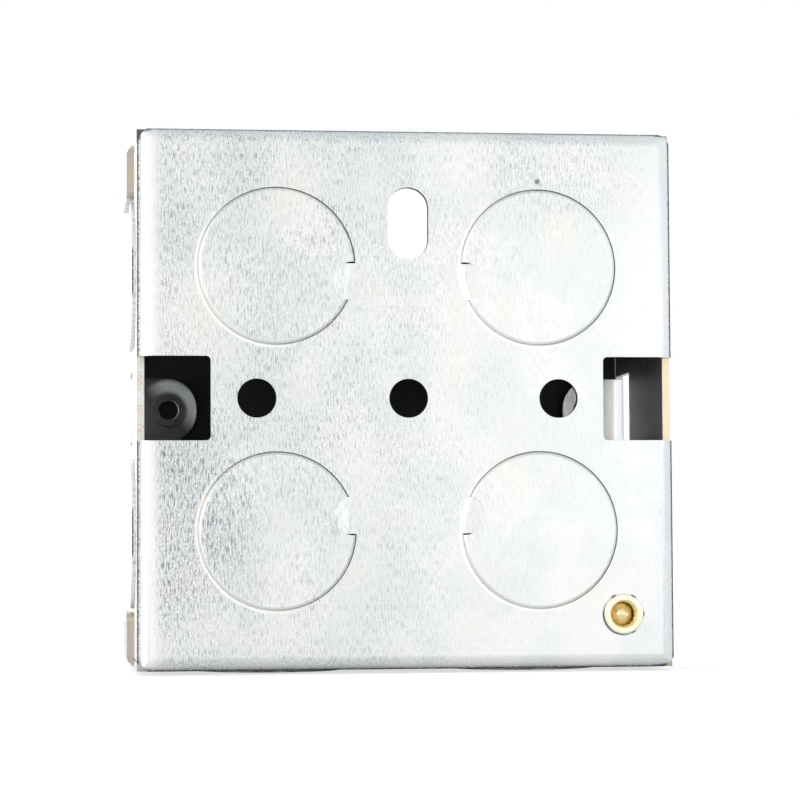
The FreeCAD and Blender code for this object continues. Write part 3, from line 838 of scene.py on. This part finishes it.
def smooth_by_area(piece: bpy.types.Object, sharp_deg: float) -> None:
    """Shade curved faces smoothly, and let each large flat face keep its own direction.

    Args:
        piece: the object.
        sharp_deg: edges that turn by more than this stay sharp.
    """
    for face in piece.data.polygons:
        face.use_smooth = True
    piece.data.set_sharp_from_angle(angle=math.radians(sharp_deg))
    weigh = piece.modifiers.new("weighed_normals", "WEIGHTED_NORMAL")
    weigh.mode = "FACE_AREA"
    weigh.weight = 100
    weigh.keep_sharp = True
    take_result(piece)


def ease_edges(piece: bpy.types.Object, width_mm: float, segments: int, sharp_deg: float) -> None:
    """Round a piece's sharp edges.

    Args:
        piece: the object.
        width_mm: width of the rounding.
        segments: faces across it.
        sharp_deg: edges that turn by more than this are rounded.
    """
    ease = piece.modifiers.new("eased_edges", "BEVEL")
    ease.width = width_mm * MM
    ease.segments = segments
    ease.limit_method = "ANGLE"
    ease.angle_limit = math.radians(sharp_deg)
    ease.use_clamp_overlap = False
    take_result(piece)


def place_piece(piece: bpy.types.Object, slot: str, *nodes: str) -> bpy.types.Object:
    """Attach a finished piece to the body, and hide the imported parts that it stands for.

    Args:
        piece: the object.
        slot: the record's material slot; not used.
        *nodes: the CAD nodes that it stands for, if any.

    Returns:
        The same piece.
    """
    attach(piece, BODY)
    if nodes:
        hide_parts(*nodes)
    return piece


def arc(centre: tuple[float, float], radius: float, start: float, end: float, steps: int) -> Profile:
    """Round stretch of a turned profile.

    Args:
        centre: its centre, as distance from the axis and place along it.
        radius: its radius.
        start: angle of its first point, in degrees from straight out.
        end: angle of its last point.
        steps: stretches between its points.

    Returns:
        The points, both ends included.
    """
    angles = [math.radians(start + (end - start) * step / steps) for step in range(steps + 1)]
    return [(centre[0] + radius * math.cos(turn), centre[1] + radius * math.sin(turn)) for turn in angles]


@dataclass
class Lathe:
    """Turns profiles round one line parallel to Y."""

    axis: tuple[float, float]
    segments: int = 96

    def turn(self, name: str, profile: Profile) -> bpy.types.Mesh:
        """Full turn of a profile that starts and ends on the axis.

        Args:
            name: the mesh's name.
            profile: distance from the axis and place along Y, in millimetres.

        Returns:
            A closed mesh whose faces point outwards.
        """
        ends = (profile[0][1], profile[-1][1])
        rings = profile[1:-1]
        corners = [(self.axis[0], place, self.axis[1]) for place in ends]
        for reach, place in rings:
            for step in range(self.segments):
                angle = 2 * math.pi * step / self.segments
                across, up = reach * math.cos(angle), reach * math.sin(angle)
                corners.append((self.axis[0] + across, place, self.axis[1] + up))
        faces = []
        last = 2 + (len(rings) - 1) * self.segments
        for step in range(self.segments):
            after = (step + 1) % self.segments
            faces.append((0, 2 + step, 2 + after))
            faces.append((1, last + after, last + step))
            for ring in range(len(rings) - 1):
                low = 2 + ring * self.segments
                high = low + self.segments
                faces.append((low + step, high + step, high + after, low + after))
        mesh = mesh_of(name, corners, faces)
        sheet = bmesh.new()
        sheet.from_mesh(mesh)
        bmesh.ops.recalc_face_normals(sheet, faces=sheet.faces)
        sheet.to_mesh(mesh)
        sheet.free()
        return mesh

    def prism(self, name: str, radius: float, sides: int, low: float, high: float) -> bpy.types.Mesh:
        """Prism round the axis with a corner straight to each side.

        Args:
            name: the mesh's name.
            radius: axis to corner.
            sides: number of sides.
            low: its end towards the open front.
            high: its end towards the back plate.

        Returns:
            A closed mesh.
        """
        coarse = Lathe(self.axis, sides)
        return coarse.turn(name, [(0, low), (radius, low), (radius, high), (0, high)])


class Cut(Enum):
    """Ways to combine two solids."""

    TAKE_AWAY = "DIFFERENCE"
    ADD = "UNION"
    KEEP_COMMON = "INTERSECT"


def combine(piece: bpy.types.Object, way: Cut, tool: bpy.types.Mesh, keep_finish: bool = False) -> None:
    """Combine a piece with a tool's solid, and leave the result in the piece.

    Args:
        piece: the object.
        way: how the two are combined.
        tool: the other solid, which is used up.
        keep_finish: whether the faces that the tool leaves keep the tool's own finish.
    """
    other = add_object("tool", tool)
    step = piece.modifiers.new("combined", "BOOLEAN")
    step.operation = way.value
    step.solver = "EXACT"
    step.material_mode = "TRANSFER" if keep_finish else "INDEX"
    step.object = other
    take_result(piece)
    bpy.data.objects.remove(other)


def merged_into(mesh: bpy.types.Mesh, *others: bpy.types.Mesh) -> None:
    """Add other meshes' faces to a mesh.

    Args:
        mesh: the mesh that takes them.
        *others: the other meshes, which stay as they are.
    """
    sheet = bmesh.new()
    for source in (mesh, *others):
        sheet.from_mesh(source)
    sheet.to_mesh(mesh)
    sheet.free()


def run_tree(
    name: str, tree: bpy.types.NodeTree, places: bpy.types.Mesh, inputs: dict[str, Any]
) -> bpy.types.Object:
    """Run a geometry tree on a mesh of places and keep its result as a plain mesh.

    Args:
        name: the new piece's name.
        tree: the geometry tree.
        places: mesh whose corners are the places.
        inputs: the tree's inputs, by name.

    Returns:
        The new object.
    """
    piece = add_object(name, places)
    repeat = piece.modifiers.new(name, "NODES")
    repeat.node_group = tree
    for item in tree.interface.items_tree:
        if item.item_type == "SOCKET" and item.in_out == "INPUT" and item.name in inputs:
            repeat[item.identifier] = inputs[item.name]
    take_result(piece)
    return piece


class RepeatTree:
    """Geometry tree that puts one shape at each corner of a mesh, as real faces with one finish."""

    def __init__(self, name: str, *sizes: str) -> None:
        """Start the tree with its named inputs.

        Args:
            name: the tree's name.
            *sizes: name of each size that it takes beside its places, steps and finish.
        """
        self.tree = bpy.data.node_groups.new(name, "GeometryNodeTree")
        face = self.tree.interface
        kinds = {"Places": "Geometry", **dict.fromkeys(sizes, "Float"), "Steps": "Int", "Finish": "Material"}
        for given, kind in kinds.items():
            face.new_socket(name=given, in_out="INPUT", socket_type=f"NodeSocket{kind}")
        face.new_socket(name="Pieces", in_out="OUTPUT", socket_type="NodeSocketGeometry")
        self.graph = Graph(self.tree)
        self.given = self.graph.node("NodeGroupInput").outputs

    def round_section(self, sides: int, size: str) -> Socket:
        """Regular outline with its corners at the named size from its middle."""
        inputs = {"Resolution": sides, "Radius": self.given[size]}
        return self.graph.result("GeometryNodeCurvePrimitiveCircle", inputs)

    def swept(self, path: Socket, section: Socket) -> Socket:
        """Closed tube of a section along a path."""
        inputs = {"Curve": path, "Profile Curve": section, "Fill Caps": True}
        return self.graph.result("GeometryNodeCurveToMesh", inputs)

    def finish(
        self, shape: Socket, turn: Sequence[float], scale: Sequence[float] = (1, 1, 1)
    ) -> bpy.types.NodeTree:
        """End the tree: the shape at each place, as real faces with the finish.

        Args:
            shape: the shape to repeat.
            turn: its turn at each place, in degrees.
            scale: its scale before it is turned.

        Returns:
            The finished tree.
        """
        rotation = [math.radians(angle) for angle in turn]
        inputs = {"Geometry": shape, "Rotation": rotation, "Scale": scale}
        turned = self.graph.result("GeometryNodeTransform", inputs)
        inputs = {"Points": self.given["Places"], "Instance": turned}
        put = self.graph.result("GeometryNodeInstanceOnPoints", inputs)
        real = self.graph.result("GeometryNodeRealizeInstances", {0: put})
        inputs = {"Geometry": real, "Material": self.given["Finish"]}
        made = self.graph.result("GeometryNodeSetMaterial", inputs)
        self.graph.node("NodeGroupOutput", {0: made})
        return self.tree


@dataclass(frozen=True)
class Thread:
    """Screw thread: a ridge of square section, wound towards the open front from each of its places."""

    radius: float
    steps: int
    ridge: float = 0.13
    pitch: float = 0.6
    ridge_sides: int = 4

    def tree(self) -> bpy.types.NodeTree:
        """Build the thread's tree.

        Returns:
            A tree whose inputs are the thread's sizes.
        """
        repeat = RepeatTree("screw_thread", "Radius", "Ridge", "Length", "Turns")
        given = repeat.given
        inputs = {
            "Resolution": given["Steps"],
            "Rotations": given["Turns"],
            "Start Radius": given["Radius"],
            "End Radius": given["Radius"],
            "Height": given["Length"],
        }
        helix = repeat.graph.result("GeometryNodeCurveSpiral", inputs)
        level = repeat.graph.result("GeometryNodeSetCurveNormal", {"Curve": helix}, mode="Z_UP")
        ridge = repeat.swept(level, repeat.round_section(self.ridge_sides, "Ridge"))
        return repeat.finish(ridge, (90, 0, 0))

    def wind(
        self, name: str, places: Sequence[Sequence[float]], length: float, finish: bpy.types.Material
    ) -> bpy.types.Object:
        """Wind the thread.

        Args:
            name: the new piece's name.
            places: middle of each thread's rear end.
            length: each thread's length.
            finish: its material.

        Returns:
            The threads as one piece.
        """
        inputs = {
            "Radius": self.radius * MM,
            "Ridge": self.ridge * MM,
            "Length": length * MM,
            "Turns": length / self.pitch,
            "Steps": self.steps,
            "Finish": finish,
        }
        return run_tree(name, self.tree(), mesh_of(f"{name}_places", places, []), inputs)


@dataclass(frozen=True)
class Rings:
    """Rings of round section, turned from lying level, with the section's height as a share of its width."""

    radius: float
    lip: float
    steps: int
    turn_deg: tuple[float, float, float]
    height: float
    lip_sides: int = 10

    def tree(self, name: str) -> bpy.types.NodeTree:
        """Build the rings' tree.

        Args:
            name: the tree's name.

        Returns:
            A tree whose inputs are the rings' sizes.
        """
        repeat = RepeatTree(name, "Radius", "Lip")
        inputs = {"Resolution": repeat.given["Steps"], "Radius": repeat.given["Radius"]}
        path = repeat.graph.result("GeometryNodeCurvePrimitiveCircle", inputs)
        ring = repeat.swept(path, repeat.round_section(self.lip_sides, "Lip"))
        return repeat.finish(ring, self.turn_deg, (1, 1, self.height))

    def put(
        self, name: str, places: Sequence[Sequence[float]], finish: bpy.types.Material
    ) -> bpy.types.Object:
        """Make the rings.

        Args:
            name: the new piece's name.
            places: each ring's middle.
            finish: their material.

        Returns:
            The rings as one piece.
        """
        inputs = {"Radius": self.radius * MM, "Lip": self.lip * MM, "Steps": self.steps, "Finish": finish}
        return run_tree(name, self.tree(name), mesh_of(f"{name}_places", places, []), inputs)


@dataclass
class BoxShell:
    """The folded sheet, with bare steel on its cut edges, its lug threads and its spot welds.

    Its sizes are in millimetres, and its angles in degrees.
    """

    sheet: float = 1.0
    proud: float = 0.5
    bend: float = 1.9
    edge: float = 0.03
    edge_faces: int = 2
    sharp_deg: float = 30.0
    flat_deg: float = 0.2
    merge: float = 0.0005
    # What tells a cut edge: how near a face lies to a plane, and how square or straight it stands to it.
    near: float = 0.02
    square: float = 0.25
    straight: float = 0.9
    rim: float = -34.5
    tab_low: float = 27.6
    seam_reach: float = 1.2
    lug_half_width: float = 5.0
    lug_root: float = 3.0
    # The lugs' threads, in bores that rise from the lug as a collar.
    lug_centres: float = 60.3
    lug_rear: float = -31.5
    collar_height: float = 0.8
    lug_thread: Thread = Thread(radius=1.47, steps=48)
    # The torn web in each back knockout's gap, and the welds on the corner tabs.
    webs: Rings = Rings(radius=10.28, lip=0.095, steps=120, turn_deg=(90.65, 0.0, 1.1), height=1.2)
    web_depth: float = -0.36
    welds: Rings = Rings(radius=1.35, lip=0.22, steps=40, turn_deg=(0.0, 90.0, 0.0), height=0.4)
    weld_stand_off: float = 0.03
    weld_rise: float = 31.0
    weld_depths: tuple[float, float] = (-21.0, -29.0)

    def __post_init__(self) -> None:
        """Work out the walls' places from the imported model, and make the finishes."""
        self.low, self.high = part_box("box_shell")
        self.tab_face = self.high.x / MM
        self.half_width = self.tab_face - self.sheet
        self.half_height = self.high.z / MM - self.proud
        self.zinc = GalvanisedSteel().material()
        self.bare_steel = ShearedEdge().material()

    def build(self) -> list[bpy.types.Object]:
        """Make the sheet with its welds, the webs of its knockouts and the threads of its lugs."""
        return [self.build_sheet(), self.build_webs(), self.build_threads()]

    def build_sheet(self) -> bpy.types.Object:
        """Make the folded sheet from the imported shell, with eased edges and bare cut edges.

        Returns:
            The dressed sheet.
        """
        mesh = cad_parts["box_shell"].data.copy()
        mesh.name = "shell_sheet"
        mesh.materials.clear()
        for finish in (self.zinc, self.bare_steel):
            mesh.materials.append(finish)
        sheet = bmesh.new()
        sheet.from_mesh(mesh)
        bmesh.ops.remove_doubles(sheet, verts=sheet.verts, dist=self.merge * MM)
        for face in sheet.faces:
            face.material_index = int(self.is_cut_edge(face.calc_center_median() / MM, face.normal))
        bare = sum(face.material_index for face in sheet.faces)
        LOG.info("shell_sheet: %d packed faces, %d of them on cut edges", len(sheet.faces), bare)
        level = math.radians(self.flat_deg)
        bmesh.ops.dissolve_limit(
            sheet, angle_limit=level, verts=sheet.verts, edges=sheet.edges, delimit={"MATERIAL"}
        )
        sheet.to_mesh(mesh)
        sheet.free()
        piece = add_object("shell_sheet", mesh)
        ease_edges(piece, self.edge, self.edge_faces, self.sharp_deg)
        for corner in piece.data.vertices:
            ends = zip(corner.co, self.low, self.high)
            corner.co = [min(max(part, least), most) for part, least, most in ends]
        combine(piece, Cut.TAKE_AWAY, self.weld_rings(), keep_finish=True)
        smooth_by_area(piece, self.sharp_deg)
        return place_piece(piece, STEEL_SLOT, "box_shell")

    def is_cut_edge(self, place: Vector, normal: Vector) -> bool:
        """Whether a face is part of the sheet's thickness, and not of its two sides.

        Args:
            place: the face's middle, in millimetres.
            normal: its direction.

        Returns:
            True for a sheared face.
        """
        across, up = abs(place.x), abs(place.z)
        to_side, to_depth, to_end = (abs(part) for part in normal)
        flat_side, flat_end = self.half_width - self.bend, self.half_height - self.bend
        if place.y > -self.sheet - self.near and to_depth < self.square:
            on_plate = across < flat_side and up < flat_end
            return on_plate or abs(to_side - to_end) < self.square
        if place.y < self.rim and normal.y < -self.straight:
            return True
        proud = across > self.half_width + self.near or up > self.half_height + self.near
        if proud and min(across, up) < self.tab_low:
            return False
        in_wall = across > self.half_width - self.sheet - self.near
        if in_wall and up < flat_end + self.seam_reach:
            return to_side < self.square
        if up > self.half_height - self.sheet - self.near:
            crosses = to_end < self.square and to_depth > self.straight
            return crosses or to_side > self.straight and not in_wall
        on_lug = up < self.lug_half_width and place.y < self.lug_rear + self.near
        return on_lug and to_depth < self.square and across < self.half_width - self.lug_root

    def build_threads(self) -> bpy.types.Object:
        """Wind the accessory screws' threads in the two lug bores.

        Returns:
            The threads as one piece.
        """
        half = self.lug_centres / 2
        ridge = self.lug_thread.ridge
        start = self.lug_rear + self.collar_height - ridge
        length = self.sheet + self.collar_height - 2 * ridge
        places = [(side * half, start, 0) for side in (-1, 1)]
        threads = self.lug_thread.wind("lug_threads", places, length, self.bare_steel)
        return place_piece(threads, STEEL_SLOT)

    def build_webs(self) -> bpy.types.Object:
        """Web of torn steel in the gap round each back knockout, nearly level with the plate on one side.

        Returns:
            The webs as one piece.
        """
        signs = [(across, up) for across in (-1, 1) for up in (-1, 1)]
        places = [(across * KNOCKOUT_MM, self.web_depth, up * KNOCKOUT_MM) for across, up in signs]
        return place_piece(self.webs.put("knockout_webs", places, self.zinc), STEEL_SLOT)

    def weld_rings(self) -> bpy.types.Mesh:
        """Rings that the welding electrodes press into each corner tab's outer face.

        Returns:
            The rings as one mesh.
        """
        reach = self.tab_face + self.weld_stand_off
        places = [
            (side * reach, depth, up * self.weld_rise)
            for side in (-1, 1)
            for up in (-1, 1)
            for depth in self.weld_depths
        ]
        rings = self.welds.put("spot_welds", places, WeldedSpot().material())
        mesh = rings.data
        bpy.data.objects.remove(rings)
        return mesh


@dataclass
class EarthTerminal:
    """Brass bush, swaged into the back plate, and its clamping screw, with sizes in millimetres."""

    sheet: float = 1.0
    edge: float = 0.05
    edge_faces: int = 2
    sharp_deg: float = 28.0
    overrun: float = 0.2
    tool_clearance: float = 1.0
    # The bush: a hexagonal bar with its front corners turned off, bored and cross-drilled.
    flats: float = 6.5
    bar_sides: int = 6
    bush_height: float = 8.6
    turned_corner: float = 0.6
    bore_radius: float = 1.6
    wire_hole_radius: float = 1.7
    wire_hole_rise: float = 3.0
    # The spigot, which starts inside the bush, and the rim that is rolled over the back plate.
    spigot_start: float = -1.5
    spigot_radius: float = 2.33
    rim_radius: float = 2.6
    rim_undercut: float = 0.06
    rim_height: float = 0.4
    rim_rounding: float = 0.17
    crater_radius: float = 1.82
    crater_depth: float = 0.5
    crater_overlap: float = 0.1
    # The screw, from its domed end to its slotted head.
    screw_tip: float = -0.35
    tip_radius: float = 0.95
    dome_radius: float = 1.2
    taper: float = 0.55
    screw_thread: Thread = Thread(radius=1.45, steps=40)
    head_gap: float = 0.7
    head_radius: float = 3.0
    head_height: float = 2.2
    head_rounding: float = 0.7
    slot_width: float = 0.9
    slot_depth: float = 1.1
    screw_bright: Colour = (0.94, 0.78, 0.45)
    screw_tarnish: float = 0.55

    def __post_init__(self) -> None:
        """Take the terminal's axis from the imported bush, and work out the places along it."""
        low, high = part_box("earth_terminal_bush")
        self.axis = ((low.x + high.x) / 2 / MM, (low.z + high.z) / 2 / MM)
        self.lathe = Lathe(self.axis)
        self.front = -(self.sheet + self.bush_height)
        self.underside = self.front - self.head_gap
        self.head_top = self.underside - self.head_height

    def build(self) -> list[bpy.types.Object]:
        """Make the bush and the screw."""
        return [self.build_bush(), self.build_screw()]

    def dress(self, piece: bpy.types.Object, finish: bpy.types.Material) -> None:
        """Give a turned piece its finish and ease its edges.

        Args:
            piece: the object.
            finish: its material.
        """
        piece.data.materials.clear()
        piece.data.materials.append(finish)
        ease_edges(piece, self.edge, self.edge_faces, self.sharp_deg)

    def build_bush(self) -> bpy.types.Object:
        """Turn the bush from a hexagonal bar: corner, spigot, swaged rim, bore and wire hole.

        Returns:
            The bush.
        """
        half_side = math.pi / self.bar_sides
        corner = self.flats / 2 / math.cos(half_side)
        steepness = math.tan(half_side)
        bar = self.lathe.prism("terminal_bush", corner, self.bar_sides, self.front, -self.sheet)
        piece = add_object("terminal_bush", bar)
        reach = corner + self.sheet
        blank = [
            (0, self.front - self.overrun),
            (corner - self.turned_corner - self.overrun / steepness, self.front - self.overrun),
            (reach, self.front + (self.turned_corner + self.sheet) * steepness),
            (reach, self.sheet),
            (0, self.sheet),
        ]
        beyond = self.tool_clearance
        bore = self.lathe.prism("bore", self.bore_radius, self.lathe.segments, self.front - beyond, beyond)
        combine(piece, Cut.KEEP_COMMON, self.lathe.turn("blank", blank))
        combine(piece, Cut.ADD, self.lathe.turn("spigot", self.rim_profile()))
        combine(piece, Cut.TAKE_AWAY, bore)
        combine(piece, Cut.TAKE_AWAY, self.wire_hole())
        self.dress(piece, TurnedBrass("bush_brass", self.axis).material())
        smooth_by_area(piece, self.sharp_deg)
        return place_piece(piece, BRASS_SLOT, "earth_terminal_bush")

    def rim_profile(self) -> Profile:
        """Profile of the spigot and the rim that is rolled over the back plate.

        Returns:
            The profile, from the spigot's end to the crater in the rim.
        """
        lip, top = self.rim_rounding, self.rim_height
        steepness = self.crater_depth / (self.crater_radius - self.bore_radius)
        floor = top - self.crater_depth - self.crater_overlap * steepness
        return [
            (0, self.spigot_start),
            (self.spigot_radius, self.spigot_start),
            (self.spigot_radius, 0),
            (self.rim_radius - self.rim_undercut, 0),
            *arc((self.rim_radius - lip, top - lip), lip, -35, 90, 8),
            *arc((self.crater_radius + lip / 2, top - lip / 2), lip / 2, 90, 150, 4),
            (self.bore_radius - self.crater_overlap, floor),
            (0, floor),
        ]

    def wire_hole(self) -> bpy.types.Mesh:
        """Solid of the cross hole for the earth wire, which runs upright through the bush.

        Returns:
            A closed mesh.
        """
        steps = self.lathe.segments
        middle = (self.axis[0], -(self.sheet + self.wire_hole_rise))
        ring = arc(middle, self.wire_hole_radius, 0, 360, steps)[:-1]
        ends = (self.axis[1] - self.flats, self.axis[1] + self.flats)
        corners = [(across, along, up) for up in ends for across, along in ring]
        pairs = [(step, (step + 1) % steps) for step in range(steps)]
        sides = [(step, after, steps + after, steps + step) for step, after in pairs]
        lids = [tuple(reversed(range(steps))), tuple(range(steps, 2 * steps))]
        return mesh_of("wire_hole", corners, [*sides, *lids])

    def driver_slot(self) -> bpy.types.Mesh:
        """Solid of the slot across the screw's head.

        Returns:
            A closed mesh.
        """
        across, half = 2 * self.head_radius, self.slot_width / 2
        corners = [
            (self.axis[0] + side * across, depth, self.axis[1] + up * half)
            for side in (-1, 1)
            for depth in (self.head_top - self.tool_clearance, self.head_top + self.slot_depth)
            for up in (-1, 1)
        ]
        faces = [(0, 1, 3, 2), (4, 6, 7, 5), (0, 4, 5, 1), (2, 3, 7, 6), (0, 2, 6, 4), (1, 5, 7, 3)]
        return mesh_of("driver_slot", corners, faces)

    def build_screw(self) -> bpy.types.Object:
        """Turn the screw, cut its driver slot and wind its thread.

        Returns:
            The screw.
        """
        piece = add_object("terminal_screw", self.lathe.turn("terminal_screw", self.screw_profile()))
        combine(piece, Cut.TAKE_AWAY, self.driver_slot())
        brass = TurnedBrass(
            "screw_brass", self.axis, bright=self.screw_bright, tarnish_share=self.screw_tarnish
        )
        finish = brass.material()
        self.dress(piece, finish)
        start = self.screw_tip - self.taper - self.dome_radius / 2 - self.screw_thread.ridge
        places = [(self.axis[0], start, self.axis[1])]
        thread = self.screw_thread.wind("wound_thread", places, start - self.underside, finish)
        merged_into(piece.data, thread.data)
        bpy.data.objects.remove(thread)
        smooth_by_area(piece, self.sharp_deg)
        return place_piece(piece, SCREW_SLOT, "earth_terminal_screw")

    def screw_profile(self) -> Profile:
        """Profile of the screw.

        Returns:
            The profile, from the head to the domed end.
        """
        rounding, root = self.head_rounding, self.screw_thread.radius
        dome_rim = math.degrees(math.acos(self.tip_radius / self.dome_radius))
        dome = arc((0, self.screw_tip - self.dome_radius), self.dome_radius, dome_rim, 90, 12)
        return [
            (0, self.head_top),
            *arc((self.head_radius - rounding, self.head_top + rounding), rounding, -90, 0, 10),
            (self.head_radius, self.underside),
            (root, self.underside),
            (root, dome[0][1] - self.taper),
            *dome[:-1],
            (0, self.screw_tip),
        ]


@dataclass(frozen=True)
class Lamp:
    """Soft square lamp that points at the box, with its place and side in metres."""

    name: str
    place: tuple[float, float, float]
    side: float
    watts: float
    tint: Colour = (1.0, 1.0, 1.0)

    def build(self) -> None:
        """Hang the lamp."""
        data = bpy.data.lights.new(self.name, "AREA")
        data.size = self.side
        data.energy = self.watts
        data.color = self.tint
        lamp = add_object(self.name, data)
        lamp.location = self.place
        lamp.rotation_euler = (-Vector(self.place)).to_track_quat("-Z", "Y").to_euler()


@dataclass(frozen=True)
class Sector:
    """Part of the world that metal mirrors in a tone of its own, by the direction's parts."""

    tone: Colour
    region: Region


@dataclass
class Studio:
    """Camera, lamps, world, floor and the card of painted shade inside the open front; none is part of the
    object.

    The camera's nearest distance and the floor's side are in metres.
    """

    camera_mm: tuple[float, float, float] = (45.4, 360.0, -20.0)
    camera_deg: tuple[float, float, float] = (93.12, 0.31, 173.01)
    lens_mm: float = 124.9
    sensor_mm: float = 36.0
    nearest: float = 0.01
    lamps: tuple[Lamp, ...] = (
        Lamp("key_lamp", (-0.33, 0.74, -0.11), 0.42, 1.05),
        Lamp("side_lamp", (0.70, 0.55, 0.05), 0.5, 1.3, (1.0, 0.98, 0.94)),
        Lamp("front_lamp", (0.30, -0.80, 0.45), 0.5, 1.6),
    )
    white: Colour = (1.0, 1.0, 1.0)
    behind: Colour = (0.985, 0.985, 0.98)
    # The far side, overhead, the dim front, the near side, and a bright strip beside the front.
    sectors: tuple[Sector, ...] = (
        Sector((0.98, 1.04, 1.12), (("across", -0.40, -0.95),)),
        Sector((0.86, 0.90, 0.93), (("rise", 0.20, 0.85),)),
        Sector((0.28, 0.31, 0.36), (("back", -0.25, -0.80), ("across", 0.20, -0.05))),
        Sector((1.60, 1.57, 1.50), (("across", 0.24, 0.6), ("back", 0.05, 0.45), ("rise", 0.9, 0.3))),
        Sector((1.60, 1.58, 1.54), (("back", -0.60, -0.92), ("across", 0.0, 0.10), ("rise", 0.30, 0.12))),
    )
    floor_side: float = 3.0
    paper: Colour = (0.92, 0.92, 0.92)
    floor_glow: float = 1.22
    floor_glow_share: float = 0.56
    card_half_mm: float = 34.39
    card_depth_mm: float = -33.9
    # The card's inner side: black, as painted shade.
    painted_shade_black: Colour = (0.085, 0.080, 0.090)
    patch_across_mm: tuple[float, float] = (-7.9, -0.7)
    patch_up_mm: tuple[float, float] = (21.2, 32.9)

    def build(self) -> None:
        """Set up everything round the object."""
        self.add_camera()
        for lamp in self.lamps:
            lamp.build()
        self.add_world()
        self.add_floor()
        self.add_shade_card()
        bpy.context.scene.view_settings.view_transform = "Standard"

    def add_camera(self) -> None:
        """Camera behind the box, at the photograph's place and angle."""
        data = bpy.data.cameras.new("camera")
        data.lens = self.lens_mm
        data.sensor_width = self.sensor_mm
        data.clip_start = self.nearest
        camera = add_object("camera", data)
        camera.location = [place * MM for place in self.camera_mm]
        camera.rotation_euler = [math.radians(turn) for turn in self.camera_deg]
        bpy.context.scene.camera = camera

    def add_world(self) -> None:
        """Pale world: white where the camera sees it, with the sectors' tones where metal mirrors it."""
        world = bpy.data.worlds.new("studio")
        bpy.context.scene.world = world
        world.use_nodes = True
        graph = Graph(world.node_tree)
        across, back, up = graph.axes(graph.node("ShaderNodeTexCoord").outputs["Generated"])
        spot = Spot(graph, across=across, back=back, rise=graph.maths("ABSOLUTE", up))
        tone = self.behind
        for sector in self.sectors:
            tone = graph.blend(spot.within(sector.region), tone, sector.tone)
        seen = graph.result("ShaderNodeBackground", {"Color": self.white, "Strength": 1.0})
        light = graph.result("ShaderNodeBackground", {"Color": tone, "Strength": 1.0})
        is_camera = graph.node("ShaderNodeLightPath").outputs["Is Camera Ray"]
        graph.node("ShaderNodeOutputWorld", {"Surface": graph.mixed(is_camera, light, seen)})

    def add_floor(self) -> None:
        """White floor that the box stands on, which keeps its shadow."""
        low, _ = CAD_BOX
        half = self.floor_side / 2
        corners = [(x, y, low.z) for x, y in ((-half, -half), (half, -half), (half, half), (-half, half))]
        mesh = bpy.data.meshes.new("floor")
        mesh.from_pydata(corners, [], [(0, 1, 2, 3)])
        material, graph = new_material("white_floor")
        is_camera = graph.node("ShaderNodeLightPath").outputs["Is Camera Ray"]
        paper = graph.result("ShaderNodeBsdfDiffuse", {"Color": self.paper})
        glow = graph.result("ShaderNodeEmission", {"Color": self.white, "Strength": self.floor_glow})
        graph.end(graph.mixed(graph.product(is_camera, self.floor_glow_share), paper, glow))
        mesh.materials.append(material)
        add_object("floor", mesh)

    def add_shade_card(self) -> None:
        """Black card just inside the open front, as painted shade: the dark that the photograph's holes show.

        It is black on its inner side, with a white patch where the camera looks through the slot. It is clear
        on its outer side, also for what has come in through it, so the box stays open to view from the front.
        """
        half, depth = self.card_half_mm, self.card_depth_mm
        corners = [(-half, depth, -half), (half, depth, -half), (half, depth, half), (-half, depth, half)]
        mesh = mesh_of("shade_card", corners, [(0, 1, 2, 3)])
        material, graph = new_material("painted_shade_card")
        path = graph.node("ShaderNodeLightPath").outputs
        place = graph.node("ShaderNodeTexCoord").outputs["Object"]
        across, _, up = (graph.maths("DIVIDE", part, MM) for part in graph.axes(place))
        inside = []
        for part, (low, high) in ((across, self.patch_across_mm), (up, self.patch_up_mm)):
            inside += [graph.maths("GREATER_THAN", part, low), graph.maths("LESS_THAN", part, high)]
        clear = graph.result("ShaderNodeBsdfTransparent")
        black = graph.result("ShaderNodeBsdfDiffuse", {"Color": self.painted_shade_black})
        white = graph.result("ShaderNodeEmission", {"Color": self.white, "Strength": 1.0})
        inner = graph.mixed(graph.product(*inside, path["Is Camera Ray"]), black, white)
        inner_side = graph.node("ShaderNodeNewGeometry").outputs["Backfacing"]
        first = graph.maths("LESS_THAN", path["Transparent Depth"], 0.5)
        graph.end(graph.mixed(graph.product(inner_side, first), clear, inner))
        mesh.materials.append(material)
        add_object("shade_card", mesh)


def main() -> None:
    """Build the studio and the object's pieces, in order."""
    logging.basicConfig(level=logging.INFO, format="%(message)s")
    Studio().build()
    for piece in [*BoxShell().build(), *EarthTerminal().build()]:
        LOG.info("%s: %d faces", piece.name, len(piece.data.polygons))


if __name__ == "__main__":
    main()
